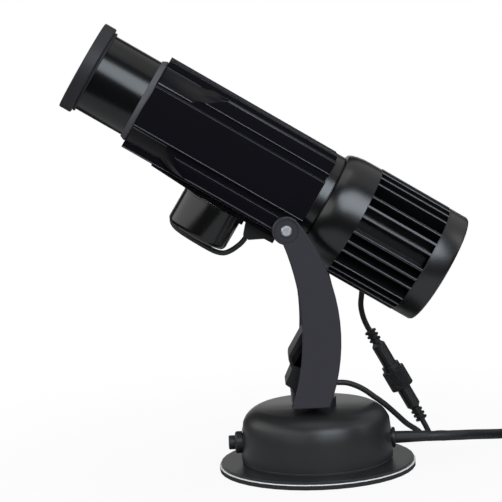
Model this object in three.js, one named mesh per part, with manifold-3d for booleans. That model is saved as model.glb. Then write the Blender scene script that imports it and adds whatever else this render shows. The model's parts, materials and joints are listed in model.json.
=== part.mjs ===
// Gobo projector: a zoom barrel that tilts in a two-armed bracket on a round base.
// Millimetres, +Z up, origin at the centre of the base's underside.
// +X runs to the rear of the barrel and the mains lead, -X to the lens and the push button.

import * as THREE from 'three';
import { mergeVertices } from 'three/addons/utils/BufferGeometryUtils.js';
import Module from 'manifold-3d';

const wasm = await Module();
wasm.setup();

// Fits shared by all pieces
const seat_gap = 0.3;
const overrun = 2;
const big_steps = 40;
const round_steps = 24;
const small_steps = 16;
const screw_steps = 12;
const screw_top_share = 0.75;

// Base
const pad_radius = 72.5;
const pad_height = 3;
const trim_height = 0.8;
const plate_setback = 1.1;
const plate_height = 2;
const dome_foot_radius = 54.8;
const dome_foot_height = 0.9;
const dome_bevel = 0.7;
const dome_radius = 56;
const dome_crease_radius = 54;
const dome_crease_height = 30;
const dome_height = 40.2;
const dome_top_radius = 43;
const dome_wall = 2.5;
const shoulder_bulge_share = 0.45;
const wall_rings = 3;
const shoulder_rings = 4;

// Driver inside the base
const driver_length = 60;
const driver_width = 46;
const driver_height = 22;

// Push button in the front of the dome
const switch_height = 14.7;
const switch_flat_depth = 1.3;
const bezel_radius = 8.25;
const bezel_depth = 5.4;
const bezel_round = 1.2;
const bushing_radius = 7;
const bushing_length = 9;
const button_radius = 5.3;
const button_reach = 4.8;
const button_guide = 3.3;
const button_travel = 2.5;
const button_round = 0.7;
const stem_radius = 2.4;
const switch_nut_radius = 9.5;
const switch_nut_height = 3;
const switch_body_radius = 6.4;
const switch_body_length = 12;
const hex_sides = 6;

// Mains gland, strain relief and lead
const mains_height = 13.6;
const mains_flat_depth = 0.7;
const gland_radius = 7.7;
const gland_depth = 2.2;
const gland_round = 0.6;
const gland_barrel_radius = 6.2;
const gland_barrel_length = 7;
const mains_radius = 3.8;
const mains_sides = 12;
const relief_length = 24.2;
const relief_start_radius = 4.6;
const relief_end_radius = 4;
const mains_steps = 10;

// Coil of the unseen mains lead, its tie and its plug
const coil_x = 200;
const coil_y = 11.3;
const coil_radius = 52.5;
const coil_pitch = 8.4;
const coil_turns = 4.25;
const tie_from_reversal_turns = 0.125;
const layer_climb_turns = 0.5;
const tail_climb_turns = 0.25;
const tail_turns = 0.75;
const tail_radius = 31;
const loop_steps = 24;
const loop_sides = 6;
const tie_thickness = 1;
const tie_width = 8;
const plug_length = 35;
const plug_width = 35.3;
const plug_height = 13.7;
const plug_bevel = 1.6;
const plug_cord_width = 12;
const plug_shoulder_share = 0.5;
const pin_radius = 2;
const pin_length = 19;
const pin_seat = 6;
const pin_spacing = 18.6;

// Pedestal and hollow bolt
const pedestal_radius = 15.3;
const pedestal_height = 6.5;
const pedestal_bevel = 0.6;
const bolt_radius = 6;
const bolt_bore_radius = 4.4;
const bolt_head_radius = 9.3;
const bolt_head_height = 1.8;
const stud_nut_radius = 10.4;
const stud_nut_height = 5;
const bolt_tail = 1.5;

// Bracket
const web_thickness = 3.5;
const arm_gap = 76;
const arm_thickness = 4.5;
const arm_bevel = 0.8;
const foot_front = 17.8;
const foot_rear = 9;
const arm_front_radius = 180.1;
const arm_rear_radius = 137.9;
const arm_arc_steps = 16;
const pivot_ahead = 17.2;
const pivot_height = 129.4;
const boss_radius = 10.3;
const boss_front_deg = -105;
const boss_rear_deg = 49;
const boss_arc_steps = 11;
const dish_radius = 8.8;
const dish_depth = 1.2;
const web_blend = 1.2;

// Moulded brace ahead of the arms, its outline in shares of foot_front and brace_height
const brace_height = 53.1;
const brace_width = 30;
const brace_recess_depth = 6;
const brace_front_shares = [
  [0.83, 0.012],
  [0.93, 0.1],
  [1.23, 0.177],
  [0.93, 0.394],
  [1, 0.45],
  [1.06, 0.52],
  [1.04, 0.58],
  [0.47, 0.9],
];
const brace_rear_shares = [
  [0.24, 0.94],
  [0.26, 0.74],
  [0.555, 0.3],
  [0.555, 0.012],
];
const brace_recess_shares = [
  [0.45, 0.77],
  [0.9, 0.56],
  [0.93, 0.52],
  [0.85, 0.44],
  [0.5, 0.4],
];

// Tilt screws
const tilt_screw_radius = 2.5;
const tilt_head_radius = 4;
const tilt_head_height = 2.2;
const tilt_screw_bite = 9;
const cross_width = 0.9;
const cross_length = 4.6;
const cross_depth = 1.1;
const boss_face_gap = 0.5;

// Lamp lead and its connector
const lead_radius = 2.1;
const lead_sides = 8;
const base_lead_steps = 32;
const head_lead_steps = 24;
const connector_x = 44.8;
const connector_y = 55;
const connector_z = 90.2;
const connector_lean_deg = 28.1;
const rib_zone_length = 10.5;
const rib_count = 3;
const rib_radius = 4.6;
const rib_root_radius = 3.3;
const rib_cone_length = 2.4;
const rib_shares = [0.15, 0.5, 0.65];
const connector_radius = 5.3;
const shoulder_radius = 7;
const shoulder_length = 3.7;
const plug_half_length = 39;
const collar_radius = 6.2;
const collar_length = 3.4;
const nut_start = 34.6;
const nut_length = 16;
const nut_radius = 8.9;
const nut_ridge_count = 30;
const nut_ridge_depth = 0.35;
const nut_bore_radius = 6.5;
const socket_half_length = 40.7;
const socket_thread_length = 10.9;

// Barrel: stations along the optical axis are measured from the tilt pivot, + to the rear
const rest_tilt_deg = 32.3;
const optical_height = 27.1;
const housing_rear = 7;
const housing_length = 138.3;
const bore_radius = 30.4;
const panel_face = 36;
const panel_half = 16.4;
const groove_floor = 30.2;
const groove_outer = 21.5;
const corner_face = 32.3;
const edge_bevel = 0.6;
const nose_radius = 35.3;
const nose_length = 28.3;
const nose_bevel = 0.8;
const cone_length = 25;
const full_radius = 46.5;
const front_collar_length = 4.2;
const front_collar_radius = 32.5;
const front_collar_tip = 31;
const tube_show = 37.4;
const tube_radius = 30.05;
const tube_wall = 2;
const tube_length = 86;
const rear_ring_length = 6.7;
const rear_ring_radius = 36.3;
const rear_ring_wall = 6;
const joint_bevel = 0.25;
const bell_length = 26.8;
const bell_round_length = 17.7;
const bell_start_radius = 37.5;
const bell_radius = 42.3;
const bell_wall = 2.6;
const bell_rings = 5;
const sink_length = 56.9;
const sink_radius = 42.75;
const sink_core_radius = 27;
const fin_thickness = 1.8;
const fin_group_count = 9;
const fin_group_deg = 40;
const fin_pitch_deg = 11.3;
const fin_first_deg = -24;
const cap_length = 16.2;
const cap_radius = 42.55;
const cap_wall = 2.6;
const cap_round = 2.4;
const cap_round_share = 0.3;
const cap_post_radius = 4.2;
const cap_screw_circle = 20;
const cap_screw_count = 4;
const cap_screw_radius = 1.6;
const cap_screw_head_radius = 3;
const cap_screw_head_height = 1.8;
const cap_screw_bite = 7;

// Lens ring and lenses in the focus tube
const lens_ring_length = 11.5;
const flange_radius = 34.2;
const flange_length = 9.3;
const flange_bevel = 0.6;
const step_ring_radius = 31.9;
const ring_groove_depth = 0.5;
const ring_groove_width = 0.5;
const aperture_radius = 26;
const lip_length = 2;
const lens_edge_gap = 0.3;
const front_lens_radius = 29.2;
const front_lens_edge = 2.1;
const front_lens_bulge = 2.1;
const front_lens_setback = 0.8;
const retainer_length = 1;
const retainer_inner_radius = 27;
const tube_step_radius = 26.6;
const tube_step_length = 2.4;
const rear_lens_from_end = 13.5;
const rear_lens_edge = 3;
const rear_lens_bulge = 2.4;
const rear_lens_ring_length = 2;
const lens_rings = 3;

// Gobo drive: a crown gear on the gobo carrier, turned by a pinion on the motor's shaft
const gear_module = 1.2;
const crown_teeth = 40;
const pinion_teeth = 10;
const crown_inner_radius = 21.4;
const crown_outer_radius = 26.8;
const carrier_behind_tube = 32.16;
const carrier_radius = 28;
const carrier_aperture = 17;
const carrier_seat_radius = 20.3;
const carrier_seat_depth = 4;
const carrier_thickness = 6;
const tooth_half_share = 0.19;
const tooth_tip_share = 0.1;
const tooth_root_share = 0.3;
const addendum_share = 0.9;
const dedendum_share = 1.2;
const tooth_seat_share = 0.25;
const pinion_width = 5;
const shaft_radius = 1.5;
const bearing_wall = 1.8;
const bearing_lip = 1.7;
const bearing_lip_radius = 26;
const gobo_radius = 20;
const gobo_thickness = 1.1;
const gobo_hole_radius = 2.1;
const gobo_hole_steps = 8;
const gobo_hub_radius = 3;
const gobo_ring_count = 6;
const gobo_inner_ring = 7.6;
const gobo_outer_ring = 13;
const clip_thickness = 1.2;
const clip_inner_radius = 18;

// Lamp board on the heat sink, and its holder with the condenser lens
const led_board_radius = 18;
const led_board_height = 1.6;
const led_chip_radius = 9;
const led_chip_height = 1.2;
const holder_flange_radius = 34;
const holder_flange_length = 2.4;
const holder_length = 29;
const holder_radius = 26;
const holder_wall = 2;
const holder_lip = 2.5;
const holder_lip_length = 1.5;
const condenser_setback = 1.6;
const condenser_edge = 3;
const condenser_bulge = 5;

// Motor under the barrel
const motor_radius = 17;
const motor_height = 15;
const rail_setback = 8;
const rail_length = 105;
const rail_thickness = 2.6;
const rail_tip_thickness = 0.8;
const rail_taper_length = 30;
const rail_hole_radius = 3.2;
const cup_radius = 23.6;
const cup_depth = 27.5;
const cup_wall = 1.8;
const cup_round = 3.5;
const cup_round_deg = 60;
const cup_round_steps = 3;
const cup_lip_radius = 24.2;
const cup_lip_height = 1.4;
const ear_reach = 25.4;
const ear_width = 8;
const ear_height = 4.2;
const lead_hole_deg = 127;
const lead_hole_drop = 18.8;
const entry_behind_motor = 26.5;
const entry_width = 9;
const entry_drop = 11.2;
const entry_shares = [
  [0, 0],
  [0.14, 0.9],
  [0.17, 1],
  [0.35, 1],
  [0.72, 0.44],
  [1, 0.42],
  [1, 0],
];
const motor_lead_radius = 1.95;
const motor_lead_steps = 24;

// Gland of the lamp lead on the hidden side of the barrel
const head_gland_ahead = 5;
const head_gland_radius = 5.6;
const head_gland_tip_radius = 3.6;
const head_gland_length = 9.7;
const head_gland_flange = 2.6;
const head_gland_spigot_radius = 2.8;
const head_gland_spigot_length = 4.6;

// Heights and stations that follow from the sizes above
const plate_radius = pad_radius - plate_setback;
const plate_z = pad_height + trim_height;
const dome_z = plate_z + plate_height;
const dome_top_z = dome_z + dome_height;
const switch_z = dome_z + switch_height;
const mains_z = dome_z + mains_height;
const yoke_z = dome_top_z + pedestal_height;
const web_top_z = yoke_z + web_thickness;
const pivot_z = yoke_z + pivot_height;
const arm_inner = arm_gap / 2;
const arm_outer = arm_inner + arm_thickness;
const switch_flat = dome_radius - switch_flat_depth;
const mains_flat = dome_radius - mains_flat_depth;
const relief_end_x = mains_flat + seat_gap + gland_depth + relief_length;
const coil_z = tie_thickness + seat_gap + mains_radius;
const tail_z = coil_z + coil_pitch + mains_radius + seat_gap + plug_height / 2;
const mains_diameter = 2 * mains_radius;
const housing_front = housing_rear - housing_length;
const collar_rear = housing_front - seat_gap;
const collar_front = collar_rear - front_collar_length;
const ring_rear = collar_front - tube_show;
const ring_front = ring_rear - lens_ring_length;
const lens_seat = ring_front + lip_length;
const front_lens_start = lens_seat + front_lens_setback;
const front_lens_end = front_lens_start + front_lens_edge;
const tube_front = front_lens_end + seat_gap + retainer_length + seat_gap;
const tube_rear = tube_front + tube_length;
const rear_ring_start = housing_rear + seat_gap;
const bell_start = rear_ring_start + rear_ring_length + seat_gap;
const bell_end = bell_start + bell_length;
const sink_start = bell_end + seat_gap;
const sink_end = sink_start + sink_length;
const cap_start = sink_end + seat_gap;
const cap_end = cap_start + cap_length;
const crown_pitch_radius = (gear_module * crown_teeth) / 2;
const pinion_pitch_radius = (gear_module * pinion_teeth) / 2;
const carrier_rear = tube_rear + carrier_behind_tube;
const crown_root = carrier_rear;
const crown_pitch = crown_root + dedendum_share * gear_module;
const motor_x = crown_pitch + pinion_pitch_radius;
const rail_top = -(panel_face + seat_gap);
const rail_bottom = rail_top - rail_thickness;
const cup_top = rail_bottom - seat_gap;

// Routes of the leads, chosen by hand
const mains_route = [
  [82.7, 0, 19.1],
  [88.9, 0.6, 18.9],
  [95.7, 2.4, 18.4],
  [102, 5.4, 17.7],
  [107.7, 9.4, 16.7],
  [112.6, 14.3, 15.6],
  [120.4, 23.5, 13.4],
  [127.4, 31.9, 11.3],
  [134.5, 40.3, 9.2],
  [142.2, 49.5, 7],
  [147.1, 54.4, 5.9],
  [152.8, 58.4, 5.3],
  [159.1, 61.4, 5.1],
  [165.9, 63.2, 5.1],
  [172.8, 63.8, 5.1],
  [182, 63.8, 5.1],
  [192.1, 63.8, 5.1],
];
const base_lead_route = [
  [-1.8, 0, 28.1],
  [-1.8, 0, 42],
  [-1.8, 0, 54.3],
  [-0.9, 0, 58.3],
  [2, 0, 61.2],
  [6, 0, 62.4],
  [11, 1, 62.5],
  [16, 2, 62],
  [24, 3.5, 61],
  [32, 5.5, 57.6],
  [38, 7, 53.7],
  [43.9, 8, 48.9],
  [48, 9.5, 45.5],
  [52, 11.5, 41.9],
  [60.2, 18, 33],
  [68.6, 25.5, 23.6],
  [77, 34.5, 16],
  [80.6, 45, 10.6],
  [82, 56, 6.3],
  [83.6, 66, 3.2],
  [88.3, 76.3, 2.2],
  [96.8, 81, 2.2],
  [104.8, 78.6, 2.2],
  [107.6, 71.5, 2.2],
  [104.2, 64.9, 2.2],
  [98.2, 62.4, 2.4],
  [93.2, 61.4, 3.6],
  [89.4, 59, 6.2],
  [87.2, 56.2, 9.8],
  [85.3, 55.1, 14],
  [82.8, 55, 19],
];
const head_lead_route = [
  [-6.9, 46.6, 207.4],
  [-6.7, 50.5, 207.3],
  [-4.6, 54.6, 204.9],
  [0, 56.6, 199.8],
  [7, 57.4, 191.4],
  [16, 57.4, 180],
  [26, 57, 166],
  [34.5, 56.4, 151],
  [39.6, 55.6, 136],
  [40.4, 55.1, 127],
  [39.6, 55, 118.6],
  [38.7, 55, 110.1],
  [40.1, 55, 101.2],
  [42.6, 55, 94.4],
  [44.65, 55, 90.5],
];
// The motor's lead: x along the barrel from the motor's axis, y across, z from the optical axis
const motor_lead_route = [
  [-11.7, 15.6, -58],
  [-13.8, 18.4, -58],
  [-16, 21.3, -58.2],
  [-18.4, 24.4, -59.6],
  [-20, 26.2, -62.8],
  [-20.2, 25.6, -66.6],
  [-18.6, 22.6, -69.6],
  [-15, 18, -71.2],
  [-9.4, 13.6, -71.7],
  [-2.4, 10.6, -71.8],
  [5.4, 8.4, -71.7],
  [14.1, 6.2, -71.4],
  [20.2, 4.6, -70.6],
  [25, 3.2, -68.4],
  [28.2, 2, -64.4],
  [30.4, 1, -59.8],
  [32, 0.3, -55.2],
  [32.7, 0, -50.9],
];

// Finishes: colour, roughness, metalness
const finishes = {
  satin_black: [0x26262a, 0.45, 0.3],
  gloss_black: [0x1b1b1f, 0.2, 0.6],
  anodised: [0x18181d, 0.35, 0.7],
  matte_black: [0x3a3a3d, 0.6, 0.1],
  dome_black: [0x3d3d40, 0.5, 0.1],
  rubber: [0x2c2c2e, 0.85, 0],
  cord: [0x29292b, 0.65, 0],
  foam_white: [0xf4f4f2, 0.8, 0],
  steel: [0xb4b6b8, 0.3, 1],
  zinc: [0x8c8f92, 0.4, 1],
  brass: [0xb8964e, 0.35, 1],
  nylon: [0xe2dfd4, 0.5, 0],
  glass: [0xdfe8ee, 0.05, 0],
  board_green: [0x2c5a3a, 0.6, 0],
  led_yellow: [0xe8c84a, 0.5, 0],
  case_grey: [0x6d7074, 0.5, 0.4],
};

const deg = Math.PI / 180;
const projector = new THREE.Group();

function group(parent, x, y, z, turnY = 0) {
  const made = new THREE.Group();
  made.position.set(x, y, z);
  made.rotation.y = turnY;
  parent.add(made);
  return made;
}

function add(parent, name, geometry, finish) {
  const [color, roughness, metalness] = finishes[finish];
  const mesh = new THREE.Mesh(
    geometry,
    new THREE.MeshStandardMaterial({ color, roughness, metalness }),
  );
  mesh.name = name;
  parent.add(mesh);
  return mesh;
}

// A closed outline of [radius, height] pairs turned about +Z
function turned(outline, steps) {
  const count = outline.length;
  const onAxis = outline.findIndex(([r], i) => r === 0 && outline[(i + 1) % count][0] === 0);
  const loop = [...outline.slice(onAxis + 1), ...outline.slice(0, onAxis + 1)];
  if (onAxis < 0) loop.push(outline[0]);
  let area = 0;
  for (let i = 1; i < loop.length; i += 1) {
    area += loop[i - 1][0] * loop[i][1] - loop[i][0] * loop[i - 1][1];
  }
  if (area < 0) loop.reverse();
  const points = loop.map(([r, z]) => new THREE.Vector2(r, z));
  const lathe = new THREE.LatheGeometry(points, steps).rotateX(Math.PI / 2);
  return geometryOf(solidOf(lathe));
}

function disc(radius, from, to, steps) {
  return turned([[0, from], [radius, from], [radius, to], [0, to]], steps);
}

function ring(inner, outer, from, to, steps) {
  return turned([[inner, from], [outer, from], [outer, to], [inner, to]], steps);
}

// The same solids with their axis along X or Y
const alongX = (geometry) => geometry.rotateY(Math.PI / 2);
const alongY = (geometry) => geometry.rotateX(-Math.PI / 2);

function block(x0, x1, y0, y1, z0, z1) {
  const box = new THREE.BoxGeometry(x1 - x0, y1 - y0, z1 - z0);
  return box.translate((x0 + x1) / 2, (y0 + y1) / 2, (z0 + z1) / 2);
}

function shapeOf(points) {
  return new THREE.Shape(points.map(([x, y]) => new THREE.Vector2(x, y)));
}

function extruded(shape, depth, bevel = 0) {
  return new THREE.ExtrudeGeometry(shape, {
    depth: depth - 2 * bevel,
    bevelEnabled: bevel > 0,
    bevelThickness: bevel,
    bevelSize: bevel,
    bevelOffset: -bevel,
    bevelSegments: 1,
    curveSegments: round_steps / 4,
  }).translate(0, 0, bevel);
}

// An outline drawn in X and Z, thick along Y about the middle plane
function uprightPlate(points, thickness, bevel = 0) {
  const plate = extruded(shapeOf(points), thickness, bevel);
  return plate.rotateX(Math.PI / 2).translate(0, thickness / 2, 0);
}

function arc(cx, cy, radius, fromDeg, toDeg, steps) {
  return Array.from({ length: steps + 1 }, (_, i) => {
    const a = (fromDeg + ((toDeg - fromDeg) * i) / steps) * deg;
    return [cx + radius * Math.cos(a), cy + radius * Math.sin(a)];
  });
}

// An arc of a given radius from one point to another, bulging to the right of the way it goes
function arcBetween([x0, y0], [x1, y1], radius, steps) {
  const span = Math.hypot(x1 - x0, y1 - y0);
  const back = Math.sqrt(radius * radius - (span * span) / 4);
  const cx = (x0 + x1) / 2 - (back * (y1 - y0)) / span;
  const cy = (y0 + y1) / 2 + (back * (x1 - x0)) / span;
  const start = Math.atan2(y0 - cy, x0 - cx) / deg;
  const sweep = (2 * Math.asin(span / 2 / radius)) / deg;
  return arc(cx, cy, radius, start, start + sweep, steps);
}

function solidOf(geometry) {
  const bare = geometry.clone();
  bare.deleteAttribute('normal');
  bare.deleteAttribute('uv');
  const merged = mergeVertices(bare);
  const index = merged.index.array;
  const corners = [];
  for (let i = 0; i < index.length; i += 3) {
    const [a, b, c] = index.slice(i, i + 3);
    if (a !== b && b !== c && c !== a) corners.push(a, b, c);
  }
  return new wasm.Manifold(
    new wasm.Mesh({
      numProp: 3,
      vertProperties: new Float32Array(merged.attributes.position.array),
      triVerts: new Uint32Array(corners),
    }),
  );
}

function geometryOf(solid) {
  const mesh = solid.getMesh();
  const geometry = new THREE.BufferGeometry();
  geometry.setAttribute('position', new THREE.BufferAttribute(mesh.vertProperties, 3));
  geometry.setIndex(new THREE.BufferAttribute(mesh.triVerts, 1));
  geometry.computeVertexNormals();
  return geometry;
}

function cut(geometry, ...tools) {
  return geometryOf(tools.reduce((left, tool) => left.subtract(solidOf(tool)), solidOf(geometry)));
}

function joined(geometry, ...others) {
  return geometryOf(others.reduce((sum, other) => sum.add(solidOf(other)), solidOf(geometry)));
}

function within(geometry, envelope) {
  return geometryOf(solidOf(geometry).intersect(solidOf(envelope)));
}

// A round tube along a hand-chosen route
function tubeAlong(route, radius, sides, steps) {
  const path = new THREE.CatmullRomCurve3(route.map((p) => new THREE.Vector3(...p)), false, 'centripetal');
  const section = shapeOf(arc(0, 0, radius, 0, 360 - 360 / sides, sides - 1));
  return new THREE.ExtrudeGeometry(section, { steps, extrudePath: path });
}

// A round tube through rings of points, closed at both ends
function tubeThrough(centres, radius, sides) {
  const points = centres.map((c) => new THREE.Vector3(...c));
  const last = points.length - 1;
  const positions = [];
  points.forEach((centre, i) => {
    const ahead = points[Math.min(i + 1, last)].clone().sub(points[Math.max(i - 1, 0)]).normalize();
    const side = new THREE.Vector3(-ahead.y, ahead.x, 0).normalize();
    const up = new THREE.Vector3().crossVectors(ahead, side);
    for (let k = 0; k < sides; k += 1) {
      const a = (2 * Math.PI * (k + 0.5)) / sides;
      const p = centre.clone();
      p.addScaledVector(side, radius * Math.cos(a)).addScaledVector(up, radius * Math.sin(a));
      positions.push(p.x, p.y, p.z);
    }
  });
  const index = [];
  for (let i = 0; i < last; i += 1) {
    for (let k = 0; k < sides; k += 1) {
      const a = i * sides + k;
      const b = i * sides + ((k + 1) % sides);
      index.push(a, b, b + sides, a, b + sides, a + sides);
    }
  }
  for (let k = 1; k < sides - 1; k += 1) {
    index.push(0, k + 1, k);
    index.push(last * sides, last * sides + k, last * sides + k + 1);
  }
  const geometry = new THREE.BufferGeometry();
  geometry.setAttribute('position', new THREE.Float32BufferAttribute(positions, 3));
  geometry.setIndex(index);
  geometry.computeVertexNormals();
  return geometry;
}

// A screw standing on z = 0: head above, shank below
function screw(headRadius, headHeight, shankRadius, shankLength) {
  const outline = [
    [0, -shankLength],
    [shankRadius, -shankLength],
    [shankRadius, 0],
    [headRadius, 0],
    [headRadius, headHeight / 2],
    [headRadius * screw_top_share, headHeight],
    [0, headHeight],
  ];
  return turned(outline, screw_steps);
}

// Half of a lens outline, flat edge of the given length, with a bulge on each face
function lensOutline(radius, start, edge, frontBulge, rearBulge) {
  const face = (bulge, station, sign) => {
    const rings = bulge > 0 ? lens_rings : 1;
    return Array.from({ length: rings + 1 }, (_, i) => {
      const share = i / rings;
      return [radius * share, station + sign * bulge * (1 - share * share)];
    });
  };
  return [...face(frontBulge, start, -1), ...face(rearBulge, start + edge, 1).reverse()];
}

// Radius of the dome's wall at a share of its height
const domeWallRadius = (share) => dome_radius + (dome_crease_radius - dome_radius) * share * share;

function domeOutline() {
  const wallStart = dome_foot_height + dome_bevel;
  const outer = [
    [dome_foot_radius, dome_z],
    [dome_foot_radius, dome_z + dome_foot_height],
  ];
  for (let i = 0; i <= wall_rings; i += 1) {
    const share = i / wall_rings;
    const height = wallStart + (dome_crease_height - wallStart) * share;
    outer.push([domeWallRadius(share), dome_z + height]);
  }
  const middle_r = (dome_crease_radius + dome_top_radius) / 2;
  const middle_h = (dome_crease_height + dome_height) / 2;
  const bend_r = middle_r + ((dome_crease_radius - dome_top_radius) / 2) * shoulder_bulge_share;
  const bend_h = middle_h + ((dome_height - dome_crease_height) / 2) * shoulder_bulge_share;
  const shoulder = new THREE.QuadraticBezierCurve(
    new THREE.Vector2(dome_crease_radius, dome_z + dome_crease_height),
    new THREE.Vector2(bend_r, dome_z + bend_h),
    new THREE.Vector2(dome_top_radius, dome_top_z),
  );
  outer.push(...shoulder.getPoints(shoulder_rings).slice(1).map((p) => [p.x, p.y]));
  const hole = bolt_radius + seat_gap;
  const inner = [
    [hole, dome_top_z],
    [hole, dome_top_z - dome_wall],
    [dome_top_radius - dome_wall, dome_top_z - dome_wall],
    [dome_crease_radius - dome_wall, dome_z + dome_crease_height - dome_wall],
    [dome_foot_radius - dome_wall, dome_z],
  ];
  return [...outer, ...inner];
}

function addBase() {
  add(projector, 'base_pad', disc(pad_radius, 0, pad_height, big_steps), 'rubber');
  add(projector, 'base_trim', disc(pad_radius, pad_height, plate_z, big_steps), 'foam_white');
  add(projector, 'base_plate', disc(plate_radius, plate_z, dome_z, big_steps), 'dome_black');
  const reach = dome_radius + overrun;
  const switchHole = alongX(disc(bushing_radius + seat_gap, -reach, -dome_radius / 2, small_steps));
  const switchFlat = alongX(disc(bezel_radius + seat_gap, -reach, -switch_flat, small_steps));
  const mainsHole = alongX(disc(gland_barrel_radius + seat_gap, dome_radius / 2, reach, small_steps));
  const mainsFlat = alongX(disc(gland_radius + seat_gap, mains_flat, reach, small_steps));
  const dome = cut(
    turned(domeOutline(), big_steps),
    switchHole.translate(0, 0, switch_z),
    switchFlat.translate(0, 0, switch_z),
    mainsHole.translate(0, 0, mains_z),
    mainsFlat.translate(0, 0, mains_z),
  );
  add(projector, 'dome', dome, 'dome_black');
  const case_top = dome_z + driver_height;
  const [halfLength, halfWidth] = [driver_length / 2, driver_width / 2];
  const driver = block(-halfLength, halfLength, -halfWidth, halfWidth, dome_z, case_top);
  add(projector, 'driver_case', driver, 'case_grey');
}

// Local +Z points out of the dome, z = 0 on the flat that the bezel seats on
function addSwitch() {
  const place = group(projector, -switch_flat, 0, switch_z, -Math.PI / 2);
  const front = seat_gap + bezel_depth;
  const bore = button_radius + seat_gap;
  const stemBore = stem_radius + seat_gap;
  const boreFloor = front - button_guide - button_travel - 2 * seat_gap;
  const stemFloor = -bushing_length - button_travel - 2 * seat_gap;
  const bezel = turned([
    [0, -bushing_length - switch_body_length],
    [switch_body_radius, -bushing_length - switch_body_length],
    [switch_body_radius, -bushing_length],
    [bushing_radius, -bushing_length],
    [bushing_radius, seat_gap],
    [bezel_radius, seat_gap],
    [bezel_radius, front - bezel_round],
    [bezel_radius - bezel_round, front],
    [bore, front],
    [bore, boreFloor],
    [stemBore, boreFloor],
    [stemBore, stemFloor],
    [0, stemFloor],
  ], small_steps);
  add(place, 'push_switch', bezel, 'satin_black');
  const tip = front + button_reach;
  const button = turned([
    [0, -bushing_length],
    [stem_radius, -bushing_length],
    [stem_radius, front - button_guide],
    [button_radius, front - button_guide],
    [button_radius, tip - button_round],
    [button_radius - button_round, tip],
    [0, tip],
  ], small_steps);
  add(place, 'button', button, 'satin_black');
  const nutReach = Math.sqrt((dome_crease_radius - dome_wall) ** 2 - switch_nut_radius ** 2);
  const nutFace = nutReach - switch_flat - seat_gap;
  const nut = cut(
    disc(switch_nut_radius, nutFace - switch_nut_height, nutFace, hex_sides),
    disc(bushing_radius + seat_gap, nutFace - switch_nut_height - overrun, nutFace + overrun, small_steps),
  );
  add(place, 'switch_nut', nut, 'zinc');
}

// Local +Z points out of the dome to the rear
function addMainsGland() {
  const place = group(projector, mains_flat, 0, mains_z, Math.PI / 2);
  const bore = relief_end_radius + 2 * seat_gap;
  const face = seat_gap + gland_depth;
  const gland = turned([
    [bore, -gland_barrel_length],
    [gland_barrel_radius, -gland_barrel_length],
    [gland_barrel_radius, seat_gap],
    [gland_radius, seat_gap],
    [gland_radius, face - gland_round],
    [gland_radius - gland_round, face],
    [bore, face],
  ], small_steps);
  add(place, 'mains_gland', gland, 'satin_black');
  const inner_end = driver_length / 2 + seat_gap - mains_flat;
  const relief = turned([
    [0, inner_end],
    [bore - seat_gap, inner_end],
    [bore - seat_gap, face + seat_gap],
    [relief_start_radius, face + seat_gap],
    [relief_start_radius, face + seat_gap + gland_round],
    [relief_end_radius, face + relief_length],
    [0, face + relief_length],
  ], small_steps);
  add(place, 'mains_strain_relief', relief, 'cord');
}

// The coil's centre line: out of the straight run, in and out again in two layers, then a tail
// that climbs onto the turns and draws in to the plug. turn counts from the run, clockwise.
function coilPoint(turn) {
  const reversal = coil_turns / 2;
  const ease = (from, length) => {
    const share = Math.min(Math.max((turn - from) / length, 0), 1);
    return (1 - Math.cos(Math.PI * share)) / 2;
  };
  const windTurns = turn < reversal ? turn : coil_turns - turn;
  const tailShare = Math.max(turn - coil_turns - tail_climb_turns, 0) / (tail_turns - tail_climb_turns);
  const inward = ease(coil_turns + tail_climb_turns, tail_turns - tail_climb_turns);
  const wound = coil_radius - coil_pitch * Math.max(windTurns, 0);
  const radius = tailShare > 0 ? coil_radius + (tail_radius - coil_radius) * inward : wound;
  const layer = coil_z + coil_pitch * ease(reversal - layer_climb_turns / 2, layer_climb_turns);
  const z = layer + (tail_z - coil_z - coil_pitch) * ease(coil_turns, tail_climb_turns);
  const a = Math.PI / 2 - 2 * Math.PI * turn;
  return [coil_x + radius * Math.cos(a), coil_y + radius * Math.sin(a), z];
}

function coilPoints(steps) {
  const count = Math.round((coil_turns + tail_turns) * steps);
  const points = Array.from({ length: count + 1 }, (_, i) => coilPoint(i / steps));
  const [x0, y0, z0] = points[0];
  const [x1, y1, z1] = points[count];
  points.unshift([x0 - mains_diameter, y0, z0]);
  points.push([x1 + mains_diameter, y1, z1]);
  return points;
}

// The least distance between stretches of the coil more than a third of a turn apart
function coilGap() {
  const fine = 4 * loop_steps;
  const points = coilPoints(fine);
  let least = Infinity;
  for (let i = 0; i < points.length; i += 1) {
    for (let j = i + Math.round(fine / 3); j < points.length; j += 1) {
      const [a, b] = [points[i], points[j]];
      least = Math.min(least, Math.hypot(a[0] - b[0], a[1] - b[1], a[2] - b[2]));
    }
  }
  return least - mains_diameter;
}

function addMainsLead() {
  add(projector, 'mains_cord', tubeAlong(mains_route, mains_radius, mains_sides, mains_steps), 'cord');
  add(projector, 'mains_coil', tubeThrough(coilPoints(loop_steps), mains_radius, loop_sides), 'cord');
  console.log(`least gap of the mains coil to itself: ${coilGap().toFixed(2)} mm`);
}

// A band round the bundle of turns, at the side of the coil away from the base
function addTie() {
  const innerTurn = coil_radius - coil_pitch * (coil_turns / 2 - tie_from_reversal_turns);
  const x0 = coil_x + innerTurn - mains_radius - seat_gap;
  const x1 = coil_x + coil_radius + mains_radius + seat_gap;
  const z1 = coil_z + coil_pitch + mains_radius + seat_gap;
  const t = tie_thickness;
  const band = shapeOf([[x0 - t, 0], [x1 + t, 0], [x1 + t, z1 + t], [x0 - t, z1 + t]]);
  const inside = [[x0, t], [x0, z1], [x1, z1], [x1, t]];
  band.holes.push(new THREE.Path(inside.map(([x, z]) => new THREE.Vector2(x, z))));
  const tie = extruded(band, tie_width).rotateX(Math.PI / 2);
  add(projector, 'cord_tie', tie.translate(0, coil_y + tie_width / 2, 0), 'rubber');
}

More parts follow.
